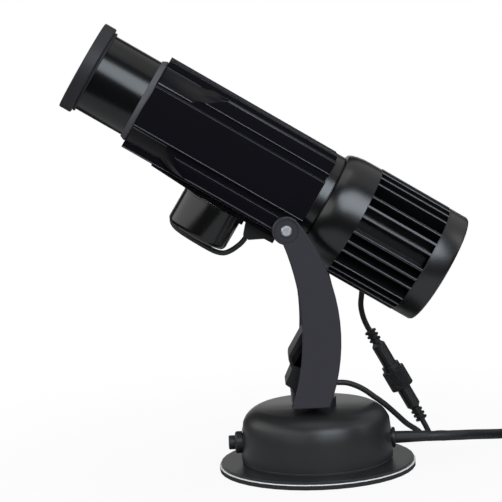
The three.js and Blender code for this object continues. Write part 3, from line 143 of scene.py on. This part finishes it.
# Coil of the unseen length: two layers, the lower wound inwards and the upper outwards, then a tail that
# rises over them to the plug
COIL_CENTRE = (200.0, 11.3)
COIL_RADIUS = 52.5
COIL_PITCH = 8.4
COIL_TURNS = 4.25
COIL_Z = 5.1
COIL_STEPS = 64
LAYER_CLIMB_TURNS = 0.5
TAIL_CLIMB_TURNS = 0.25
TAIL_TURNS = 0.75
TAIL_RADIUS = 31.0
PLUG_HEIGHT = 13.7
PLUG_GAP = 0.3
TAIL_Z = COIL_Z + COIL_PITCH + MAINS_DIAMETER / 2 + PLUG_GAP + PLUG_HEIGHT / 2
# Where the lead runs on into the plug, in shares of its diameter
IN_PLUG_SHARES = (0.5, 1)


def smooth_route(points, step):
    """A centripetal Catmull-Rom curve through the points, in steps of about the given length."""
    route = [Vector(point) for point in points]
    route = [2 * route[0] - route[1], *route, 2 * route[-1] - route[-2]]
    curve = []
    for before, start, end, after in zip(route, route[1:], route[2:], route[3:]):
        first = math.sqrt((start - before).length)
        span = math.sqrt((end - start).length)
        last = math.sqrt((after - end).length)
        leaving = ((start - before) / first - (end - before) / (first + span) + (end - start) / span) * span
        arriving = ((end - start) / span - (after - start) / (span + last) + (after - end) / last) * span
        count = max(1, round((end - start).length / step))
        for k in range(count):
            t = k / count
            h = (2 * t**3 - 3 * t**2 + 1, t**3 - 2 * t**2 + t, -2 * t**3 + 3 * t**2, t**3 - t**2)
            curve.append(h[0] * start + h[1] * leaving + h[2] * end + h[3] * arriving)
    curve.append(route[-2])
    return curve


def coil_point(turn):
    """The lead's centre after so many turns of the coil."""
    reversal = COIL_TURNS / 2

    def ease(start, length):
        share = min(max((turn - start) / length, 0), 1)
        return (1 - math.cos(math.pi * share)) / 2

    if turn > COIL_TURNS + TAIL_CLIMB_TURNS:
        inward = ease(COIL_TURNS + TAIL_CLIMB_TURNS, TAIL_TURNS - TAIL_CLIMB_TURNS)
        radius = COIL_RADIUS + (TAIL_RADIUS - COIL_RADIUS) * inward
    else:
        wound = max(turn if turn < reversal else COIL_TURNS - turn, 0)
        radius = COIL_RADIUS - COIL_PITCH * wound
    z = COIL_Z + COIL_PITCH * ease(reversal - LAYER_CLIMB_TURNS / 2, LAYER_CLIMB_TURNS)
    z += (TAIL_Z - COIL_Z - COIL_PITCH) * ease(COIL_TURNS, TAIL_CLIMB_TURNS)
    angle = math.pi / 2 - math.tau * turn
    x = COIL_CENTRE[0] + radius * math.cos(angle)
    y = COIL_CENTRE[1] + radius * math.sin(angle)
    return Vector((x, y, z))


def mesh_object(name, vertices, faces, sharp_angle):
    """A smooth-shaded mesh whose edges above an angle are sharp."""
    mesh = bpy.data.meshes.new(name)
    mesh.from_pydata([tuple(v) for v in vertices], [], faces)
    mesh.update()
    mesh.shade_smooth()
    mesh.set_sharp_from_angle(angle=sharp_angle)
    made = bpy.data.objects.new(name, mesh)
    scene.collection.objects.link(made)
    return made


def cord_tube(name, path, diameter):
    """A closed round tube of a diameter in millimetres along a path in metres, painted as a lead."""
    radius = diameter * MM / 2
    last = len(path) - 1
    ways = [(path[min(i + 1, last)] - path[max(i - 1, 0)]).normalized() for i in range(len(path))]
    side = ways[0].orthogonal().normalized()
    vertices, faces = [], []
    for centre, way in zip(path, ways):
        side = (side - way * side.dot(way)).normalized()
        up = way.cross(side)
        for k in range(CORD_SIDES):
            angle = math.tau * k / CORD_SIDES
            vertices.append(centre + radius * (math.cos(angle) * side + math.sin(angle) * up))
    for i in range(last):
        for k in range(CORD_SIDES):
            here = i * CORD_SIDES + k
            beside = i * CORD_SIDES + (k + 1) % CORD_SIDES
            faces.append((here, beside, beside + CORD_SIDES, here + CORD_SIDES))
    faces.append(tuple(reversed(range(CORD_SIDES))))
    faces.append(tuple(range(last * CORD_SIDES, len(path) * CORD_SIDES)))
    made = mesh_object(name, vertices, faces, CORD_END_ANGLE)
    paint(made, "cord")
    return made


def lead_path(points, place=Matrix.Identity(4)):
    """A lead's path in metres through points that are given in millimetres in the frame of a place."""
    return [place @ point * MM for point in smooth_route(points, LEAD_STEP)]


def add_mains_lead():
    steps = round((COIL_TURNS + TAIL_TURNS) * COIL_STEPS)
    coil = [coil_point(i / COIL_STEPS) for i in range(steps + 1)]
    points = smooth_route([*MAINS_ROUTE, tuple(coil[0])], MAINS_STEP)[:-1] + coil
    points += [coil[-1] + Vector((MAINS_DIAMETER * share, 0, 0)) for share in IN_PLUG_SHARES]
    path = [point * MM for point in points]
    mains = cord_tube("mains_lead", path, MAINS_DIAMETER)
    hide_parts("mains_cord", "mains_coil")
    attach(mains, "base")


def add_base_lead():
    path = lead_path(BASE_LEAD_ROUTE)
    lead = cord_tube("lamp_lead_lower", path, LEAD_DIAMETER)
    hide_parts("base_lead")
    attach(lead, "base")


def add_head_lead():
    path = lead_path(HEAD_LEAD_ROUTE)
    lead = cord_tube("lamp_lead_upper", path, LEAD_DIAMETER)
    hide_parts("head_lead")
    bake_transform(lead)


def add_motor_lead():
    path = lead_path(MOTOR_LEAD_ROUTE, barrel_frame(MOTOR_X))
    lead = cord_tube("motor_lead_loop", path, MOTOR_LEAD_DIAMETER)
    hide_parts("motor_lead")
    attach(lead, "head")


# Shader nodes

def shader_node(tree, kind, inputs=None, **settings):
    """A node whose inputs are set to a value or linked to another node's output."""
    node = tree.nodes.new(f"ShaderNode{kind}")
    for key, value in settings.items():
        setattr(node, key, value)
    for key, value in (inputs or {}).items():
        if isinstance(value, bpy.types.NodeSocket):
            tree.links.new(value, node.inputs[key])
        else:
            node.inputs[key].default_value = value
    return node


def maths(tree, operation, *values):
    """The result of a Math node."""
    return shader_node(tree, "Math", dict(enumerate(values)), operation=operation).outputs[0]


def object_axes(tree):
    """The X, Y and Z of a point in the piece's own frame, which is the row frame."""
    place = shader_node(tree, "TexCoord").outputs["Object"]
    return shader_node(tree, "SeparateXYZ", {"Vector": place}).outputs


def seen_directly(tree, rays):
    """1 for what the camera sees, also through glass."""
    return maths(tree, "MAXIMUM", rays["Is Camera Ray"], rays["Is Transmission Ray"])


def mixed(tree, share, first, second):
    """A mix of two shaders, given as their nodes."""
    return shader_node(tree, "MixShader", {0: share, 1: first.outputs[0], 2: second.outputs[0]})


# Materials

GRAIN_DETAIL = 3
GRAIN_DEPTH = 0.0001
MATT_ROUGHNESS = 0.8
GLASS_ROUGHNESS = 0.02
GLASS_IOR = 1.5
# Height in metres of the line between the black and the white of the trim
TRIM_LINE = 0.0033

# The connector nut's middle in millimetres, its lean, and its diamond pattern in metres
NUT_MIDDLE = Vector((64.9, 55, 52.6))
NUT_LEAN = math.radians(28.1)
NUT_RADIUS = 0.0089
NUT_ROUGHNESS = 0.42
KNURL_PITCH = 0.0015
KNURL_DEPTH = 0.0005


def linear(value):
    """The linear value of an sRGB value of 0 to 255."""
    value /= 255
    return value / 12.92 if value <= 0.04045 else ((value + 0.055) / 1.055) ** 2.4


def srgb(colour):
    return (*[linear(c) for c in colour], 1)


def new_material(name):
    """An empty material, its node tree and its shader."""
    made = bpy.data.materials.new(name)
    made.use_nodes = True
    return made, made.node_tree, made.node_tree.nodes["Principled BSDF"]


def add_bump(tree, shader, height, strength, depth):
    bump = shader_node(tree, "Bump", {"Height": height, "Strength": strength, "Distance": depth})
    tree.links.new(bump.outputs["Normal"], shader.inputs["Normal"])


def material(name, colour, roughness, metallic=0.0, specular=0.5, grain=None, spread=0.0):
    """A plain surface. grain is (size in metres, bump strength), and spread varies the gloss with it."""
    made, tree, shader = new_material(name)
    shader.inputs["Base Color"].default_value = srgb(colour)
    shader.inputs["Roughness"].default_value = roughness
    shader.inputs["Metallic"].default_value = metallic
    shader.inputs["Specular IOR Level"].default_value = specular
    if grain:
        size, strength = grain
        place = shader_node(tree, "TexCoord").outputs["Object"]
        noise = shader_node(tree, "TexNoise", {"Vector": place, "Scale": 1 / size, "Detail": GRAIN_DETAIL})
        add_bump(tree, shader, noise.outputs["Fac"], strength, GRAIN_DEPTH)
        if spread:
            ends = {"To Min": roughness - spread, "To Max": roughness + spread}
            remap = shader_node(tree, "MapRange", {"Value": noise.outputs["Fac"], **ends})
            tree.links.new(remap.outputs["Result"], shader.inputs["Roughness"])
    return made


def glass(name, tint):
    made, _, shader = new_material(name)
    shader.inputs["Base Color"].default_value = srgb(tint)
    shader.inputs["Roughness"].default_value = GLASS_ROUGHNESS
    shader.inputs["Transmission Weight"].default_value = 1
    shader.inputs["IOR"].default_value = GLASS_IOR
    return made


def two_tone(name, low, high, height):
    """A matt surface of one colour below a height and of another above it."""
    made = material(name, high, MATT_ROUGHNESS)
    tree = made.node_tree
    above = maths(tree, "GREATER_THAN", object_axes(tree)["Z"], height)
    colours = {"Factor": above, "A": srgb(low), "B": srgb(high)}
    mix = shader_node(tree, "Mix", colours, data_type="RGBA")
    tree.links.new(mix.outputs["Result"], tree.nodes["Principled BSDF"].inputs["Base Color"])
    return made


def knurl(name, colour):
    """Black plastic with crossed slanted grooves round the nut's axis."""
    made = material(name, colour, NUT_ROUGHNESS)
    tree = made.node_tree
    place = shader_node(tree, "TexCoord").outputs["Object"]
    nut = {"Vector": place, "Location": NUT_MIDDLE * MM, "Rotation": (0, -NUT_LEAN, 0)}
    turned = shader_node(tree, "Mapping", nut, vector_type="TEXTURE").outputs[0]
    axes = shader_node(tree, "SeparateXYZ", {"Vector": turned}).outputs
    around = maths(tree, "MULTIPLY", maths(tree, "ARCTAN2", axes["Y"], axes["X"]), NUT_RADIUS)
    waves = []
    for way in ("ADD", "SUBTRACT"):
        phase = maths(tree, "MULTIPLY", maths(tree, way, around, axes["Z"]), math.pi / KNURL_PITCH)
        waves.append(maths(tree, "ABSOLUTE", maths(tree, "SINE", phase)))
    height = maths(tree, "MINIMUM", *waves)
    add_bump(tree, tree.nodes["Principled BSDF"], height, 1, KNURL_DEPTH)
    return made


# Grains: size in metres and bump strength
FINE = (0.0006, 0.25)
SATIN = (0.0006, 0.06)
POLISHED = (0.0008, 0.02)
ENAMEL = (0.0004, 0.3)
TEXTURED = (0.0004, 0.35)
SHEATH = (0.0005, 0.2)
GLOSS_SPREAD = 0.05

MATERIALS = {
    "rubber": material("base_rubber", (34, 34, 36), 0.8, grain=FINE),
    "foam": two_tone("foam_edge", (20, 20, 21), (252, 252, 250), TRIM_LINE),
    "enamel": material("black_enamel", (37, 37, 38), 0.36, grain=ENAMEL, spread=GLOSS_SPREAD),
    "bracket": material("bracket_paint", (46, 44, 51), 0.5, grain=TEXTURED, spread=GLOSS_SPREAD),
    "housing": material("housing_anodised", (10, 8, 16), 0.3, specular=0.22, grain=SATIN),
    # Painted light: a lighter, matt copy of the housing's material for its top faces, standing in for the
    # grey band that light gives the top
    "housing_top_painted_light": material("housing_matt_painted_light", (34, 34, 38), 0.8, specular=0.2, grain=FINE),
    "collar": material("collar_grey", (82, 82, 86), 0.55, grain=FINE),
    "tube": material("tube_anodised", (12, 12, 14), 0.2, specular=0.55, grain=POLISHED),
    "bell": material("bell_anodised", (2, 2, 3), 0.28, specular=0.78, grain=POLISHED),
    "ring": material("ring_anodised", (45, 44, 48), 0.5, specular=0.35, grain=FINE),
    "sink": material("sink_anodised", (16, 16, 18), 0.3, specular=0.6, grain=SATIN),
    "cap": material("cap_satin", (8, 8, 9), 0.32, specular=0.85, grain=POLISHED),
    "cup": material("cup_polished", (12, 11, 11), 0.2, specular=0.6),
    # Painted highlights: lighter materials for the bevels of sharp edges, standing in for the light that
    # these edges catch
    "edge": material("painted_edge_highlight", (106, 106, 112), 0.35),
    "dim_painted_highlight": material("painted_edge_highlight_dim", (88, 88, 94), 0.35),
    "nut": knurl("connector_knurl", (38, 38, 39)),
    "plastic": material("black_plastic", (33, 33, 34), 0.4, grain=FINE),
    "brace": material("brace_plastic", (30, 30, 34), 0.45, grain=FINE),
    "cord": material("cord_sheath", (34, 34, 36), 0.5, grain=SHEATH),
    "zinc": material("zinc_plate", (170, 172, 175), 0.35, metallic=1.0, grain=FINE),
    "steel": material("bright_steel", (205, 206, 210), 0.3, metallic=1.0, grain=FINE),
    "screw": material("screw_steel", (218, 218, 222), 0.5, metallic=1.0, grain=FINE),
    "brass": material("brass_pins", (200, 165, 95), 0.3, metallic=1.0, grain=FINE),
    "nylon": material("natural_nylon", (222, 218, 206), 0.5, grain=FINE),
    "led": material("lamp_phosphor", (232, 200, 80), 0.5),
    "grey": material("driver_grey", (110, 112, 116), 0.5, grain=FINE),
    "bare": material("holder_aluminium", (165, 168, 172), 0.4, metallic=1.0, grain=FINE),
    "glass": glass("lens_glass", (238, 243, 248)),
}
NODE_MATERIALS = {
    "rubber": ["base_pad", "cord_tie"],
    "foam": ["base_trim"],
    "enamel": ["base_plate", "dome", "pedestal"],
    "bracket": ["yoke"],
    "housing": ["housing", "under_rail"],
    "tube": ["focus_tube"],
    "bell": ["rear_bell", "rear_collar"],
    "collar": ["front_collar"],
    "ring": ["lens_ring"],
    "sink": ["heat_sink"],
    "cap": ["rear_cap"],
    "cup": ["motor_cup"],
    "plastic": [
        "push_switch", "button", "mains_gland", "plug_body", "connector_plug", "connector_socket",
        "lens_retainer", "rear_lens_ring", "cable_entry", "head_gland",
    ],
    "nut": ["connector_nut"],
    "brace": ["yoke_brace"],
    "cord": ["mains_strain_relief"],
    "zinc": ["hollow_bolt", "stud_nut", "switch_nut", "motor"],
    "screw": ["tilt_screw_1", "tilt_screw_2"],
    "steel": [
        "cap_screw_1", "cap_screw_2", "cap_screw_3", "cap_screw_4",
        "motor_shaft", "gobo_disc", "gobo_clip",
    ],
    "brass": ["plug_pin_1", "plug_pin_2"],
    "nylon": ["gobo_carrier", "gobo_bearing", "drive_pinion"],
    "glass": ["front_lens", "rear_lens", "condenser_lens"],
    "led": ["led_module"],
    "grey": ["driver_case"],
    "bare": ["lamp_holder"],
}


def paint(piece, key):
    """Gives a piece its only material."""
    piece.data.materials.clear()
    piece.data.materials.append(MATERIALS[key])


# CAD nodes, smoothed and with rounded edges

BODY_OF = {node: body for body, names in frame["record"]["behaviour"]["bodies"].items() for node in names}

# Nodes that a lead carries with it, which stay the CAD model's own
ON_CORDS = [
    "plug_body", "plug_pin_1", "plug_pin_2", "cord_tie", "mains_strain_relief",
    "connector_socket", "connector_plug", "connector_nut",
]

# Edge rounding in millimetres of the nodes whose edges show
EDGE_ROUNDS = {
    "housing": 0.45, "heat_sink": 0.45, "yoke": 0.4, "yoke_brace": 0.5, "under_rail": 0.4,
    "motor_cup": 0.3, "rear_cap": 0.3, "cable_entry": 0.5, "dome": 0.3, "base_plate": 0.3,
    "base_pad": 0.4, "lens_ring": 0.15, "front_collar": 0.15, "rear_collar": 0.15,
}
ROUND_SEGMENTS = 2
ROUND_ANGLE = math.radians(30)

# Nodes whose edges get a painted highlight, a thin line of lighter material on the bevel, with the material
# of the line
PAINTED_EDGE_HIGHLIGHTS = {"housing": "dim_painted_highlight", "heat_sink": "edge", "dome": "edge", "yoke": "dim_painted_highlight"}
LINE_SEGMENTS = 1
# Places in a skin's list of the painted edge highlight's material and of the housing top's painted light
HIGHLIGHT_MATERIAL = 1
TOP_PAINTED_LIGHT_MATERIAL = 2

WELD_DISTANCE = 0.000002
# Faces that meet at less than this shade as one round surface
SMOOTH_ANGLE = math.radians(28)
# Faces that meet at less than this become one
FLAT_ANGLE = math.radians(0.4)
# Least cosine between two directions that count as the same
PARALLEL = 0.999
# Least length in millimetres of an arm's long edges
ARM_EDGE = 4.0
# Least cosine between the direction up from the barrel and the housing's faces that get painted light, a
# lighter matt material
PAINTED_LIGHT_SHARE = 0.8


def along_barrel(edge):
    """Whether an edge runs along the barrel."""
    way = (edge.verts[1].co - edge.verts[0].co).normalized()
    return abs(way.dot(barrel_direction(1, 0, 0))) > PARALLEL


def on_arm_side(edge):
    """Whether an edge is one of the long ones that bound an arm's flat side."""
    across = [abs(face.normal.y) for face in edge.link_faces]
    outermost = all(y > PARALLEL or y < 1 - PARALLEL for y in across)
    return outermost and edge.calc_length() > ARM_EDGE * MM


# Nodes whose painted edge highlights go only on the edges that a test picks
PICKED_EDGES = {"housing": along_barrel, "heat_sink": along_barrel, "yoke": on_arm_side}


def mark_edges(work, wanted):
    """Gives the bevel the sharp outer edges that the test picks."""
    weight = work.edges.layers.float.new("bevel_weight_edge")
    for edge in work.edges:
        if edge.is_convex and edge.calc_face_angle(0) > SMOOTH_ANGLE and wanted(edge):
            edge[weight] = 1


def smoothed_mesh(name):
    """The node's mesh with its corners joined, so that its round faces shade smoothly."""
    work = bmesh.new()
    work.from_mesh(nodes[name].data)
    bmesh.ops.remove_doubles(work, verts=work.verts, dist=WELD_DISTANCE)
    bmesh.ops.dissolve_limit(
        work, angle_limit=FLAT_ANGLE, verts=work.verts, edges=work.edges, use_dissolve_boundaries=False
    )
    for face in work.faces:
        face.smooth = True
    for edge in work.edges:
        edge.smooth = edge.is_manifold and edge.calc_face_angle(math.pi) < SMOOTH_ANGLE
    if name in PICKED_EDGES:
        mark_edges(work, PICKED_EDGES[name])
    mesh = bpy.data.meshes.new(f"{name}_skin")
    work.to_mesh(mesh)
    work.free()
    return mesh


def round_edges(piece, name):
    """Narrow bevels, which catch light. Those of a node with edge lines also get a lighter material of
    their own, a painted highlight.
    """
    bevel = piece.modifiers.new("edges", "BEVEL")
    bevel.width = EDGE_ROUNDS[name] * MM
    bevel.segments = ROUND_SEGMENTS
    bevel.limit_method = "ANGLE"
    bevel.angle_limit = ROUND_ANGLE
    bevel.harden_normals = True
    if name in PAINTED_EDGE_HIGHLIGHTS:
        piece.data.materials.append(MATERIALS[PAINTED_EDGE_HIGHLIGHTS[name]])
        bevel.material = HIGHLIGHT_MATERIAL
        bevel.segments = LINE_SEGMENTS
        bevel.use_clamp_overlap = False
        if name in PICKED_EDGES:
            bevel.limit_method = "WEIGHT"


def paint_housing_top_painted_light(mesh):
    """Paints light on the housing's top faces: they get a lighter, matt copy of its material."""
    mesh.materials.append(MATERIALS["housing_top_painted_light"])
    up = barrel_direction(0, 0, 1)
    for face in mesh.polygons:
        if face.normal.dot(up) > PAINTED_LIGHT_SHARE:
            face.material_index = TOP_PAINTED_LIGHT_MATERIAL


def skin(name, key):
    """A copy of a CAD node that shades smoothly and has its edges rounded."""
    mesh = smoothed_mesh(name)
    made = bpy.data.objects.new(f"{name}_skin", mesh)
    scene.collection.objects.link(made)
    paint(made, key)
    if name in EDGE_ROUNDS:
        round_edges(made, name)
    if name == "housing":
        paint_housing_top_painted_light(mesh)
    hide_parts(name)
    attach(made, BODY_OF[name])


def dress_nodes():
    for key, names in NODE_MATERIALS.items():
        for name in names:
            if name in ON_CORDS:
                paint(nodes[name], key)
            else:
                skin(name, key)


# Place of each seam's middle along the barrel, from the tilt axis, and the radius just under the surface
# there, in millimetres
SEAMS = ((-131.45, 32.2), (7.15, 35.9), (14.15, 35.9), (41.25, 42.1), (98.45, 42.3))
SEAM_HALF = 0.4
SEAM_DEPTH = 1.2
RING_STEPS = 96


def add_seam_rings():
    """Thin black rings in the seams of the barrel, which let no light through."""
    vertices, faces = [], []
    place = barrel_frame()
    for station, radius in SEAMS:
        first = len(vertices)
        inner = radius - SEAM_DEPTH
        outline = [(-SEAM_HALF, inner), (SEAM_HALF, inner), (SEAM_HALF, radius), (-SEAM_HALF, radius)]
        corners = len(outline)
        for k in range(RING_STEPS):
            angle = math.tau * k / RING_STEPS
            for offset, reach in outline:
                point = Vector((station + offset, reach * math.cos(angle), reach * math.sin(angle)))
                vertices.append(place @ point * MM)
        for k in range(RING_STEPS):
            here = first + corners * k
            ahead = first + corners * ((k + 1) % RING_STEPS)
            for i in range(corners):
                j = (i + 1) % corners
                faces.append((here + i, ahead + i, ahead + j, here + j))
    rings = mesh_object("seam_rings", vertices, faces, SMOOTH_ANGLE)
    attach(rings, "head")
    paint(rings, "bell")


# Floor, background and studio light

FLOOR_RADIUS = 0.42
FLOOR_STEPS = 96
FLOOR_COLOUR = (0.55, 0.55, 0.55, 1)
# How white the camera sees the floor near the base and far from it
FLOOR_FADE = {"From Min": 0.1, "From Max": 0.4, "To Min": 0.93, "To Max": 1.0}

WHITE = (1, 1, 1)
FILL = 0.16
ROOM = 0.03
BACKDROP = 1.0
# What a reflection sees from the dark room to the white backdrop, by how directly its ray runs to the back
BACKDROP_EDGE = {"From Min": 0.93, "From Max": 0.995, "To Min": ROOM, "To Max": BACKDROP}

AIM = Vector((-0.02, 0, 0.2))
# Softboxes: degrees left of the camera and up, distance, width and height in metres, brightness, colour
LIGHTS = {
    "key_box": (-22, 27, 1.5, (1.1, 0.9), 4.8, (0.84, 0.92, 1.0)),
    "left_box": (72, 25, 1.3, (3.6, 0.9), 1.3, WHITE),
    "top_box": (20, 85, 1.3, (1.0, 0.9), 0.95, WHITE),
    "back_box": (-118, 48, 1.6, (2.0, 2.0), 0.45, WHITE),
    "right_box": (-80, 20, 1.5, (0.4, 0.9), 1.4, WHITE),
}


def add_floor():
    """A pale floor that keeps the shadow, and that the camera sees as nearly white."""
    bpy.ops.mesh.primitive_circle_add(vertices=FLOOR_STEPS, radius=FLOOR_RADIUS, fill_type="NGON")
    floor = bpy.context.object
    floor.name = "floor"
    made = bpy.data.materials.new("floor_white")
    made.use_nodes = True
    tree = made.node_tree
    tree.nodes.clear()
    place = shader_node(tree, "TexCoord").outputs["Object"]
    distance = shader_node(tree, "VectorMath", {0: place}, operation="LENGTH").outputs["Value"]
    fade = shader_node(tree, "MapRange", {"Value": distance, **FLOOR_FADE}).outputs["Result"]
    seen = seen_directly(tree, shader_node(tree, "LightPath").outputs)
    diffuse = shader_node(tree, "BsdfDiffuse", {"Color": FLOOR_COLOUR})
    look = mixed(tree, maths(tree, "MULTIPLY", seen, fade), diffuse, shader_node(tree, "Emission"))
    shader_node(tree, "OutputMaterial", {"Surface": look.outputs[0]})
    floor.data.materials.append(made)


def add_world():
    """White where the camera looks, a soft fill, and for reflections a backdrop and a dark room."""
    world = bpy.data.worlds.new("studio")
    scene.world = world
    world.use_nodes = True
    tree = world.node_tree
    tree.nodes.clear()
    direction = shader_node(tree, "TexCoord").outputs["Generated"]
    back = shader_node(tree, "SeparateXYZ", {"Vector": direction}).outputs["Y"]
    reflected = shader_node(tree, "MapRange", {"Value": back, **BACKDROP_EDGE}).outputs["Result"]
    fill, mirrored, seen = [
        shader_node(tree, "Background", {"Color": (*WHITE, 1), "Strength": strength})
        for strength in (FILL, reflected, BACKDROP)
    ]
    rays = shader_node(tree, "LightPath").outputs
    lit = mixed(tree, rays["Is Glossy Ray"], fill, mirrored)
    look = mixed(tree, seen_directly(tree, rays), lit, seen)
    shader_node(tree, "OutputWorld", {"Surface": look.outputs[0]})


def add_light(name, azimuth, elevation, distance, size, brightness, colour):
    """A softbox of the given surface brightness that looks at the object."""
    turn, rise = math.radians(azimuth), math.radians(elevation)
    level = math.cos(rise)
    away = Vector((-math.sin(turn) * level, -math.cos(turn) * level, math.sin(rise)))
    data = bpy.data.lights.new(name, "AREA")
    data.shape = "RECTANGLE"
    data.size, data.size_y = size
    data.energy = brightness * math.pi * size[0] * size[1]
    data.color = colour
    light = bpy.data.objects.new(name, data)
    light.location = AIM + distance * away
    light.rotation_euler = (-away).to_track_quat("-Z", "Y").to_euler()
    scene.collection.objects.link(light)


add_camera()
add_mains_lead()
add_base_lead()
add_head_lead()
add_motor_lead()
dress_nodes()
add_seam_rings()
add_floor()
add_world()
for light_name, light_values in LIGHTS.items():
    add_light(light_name, *light_values)
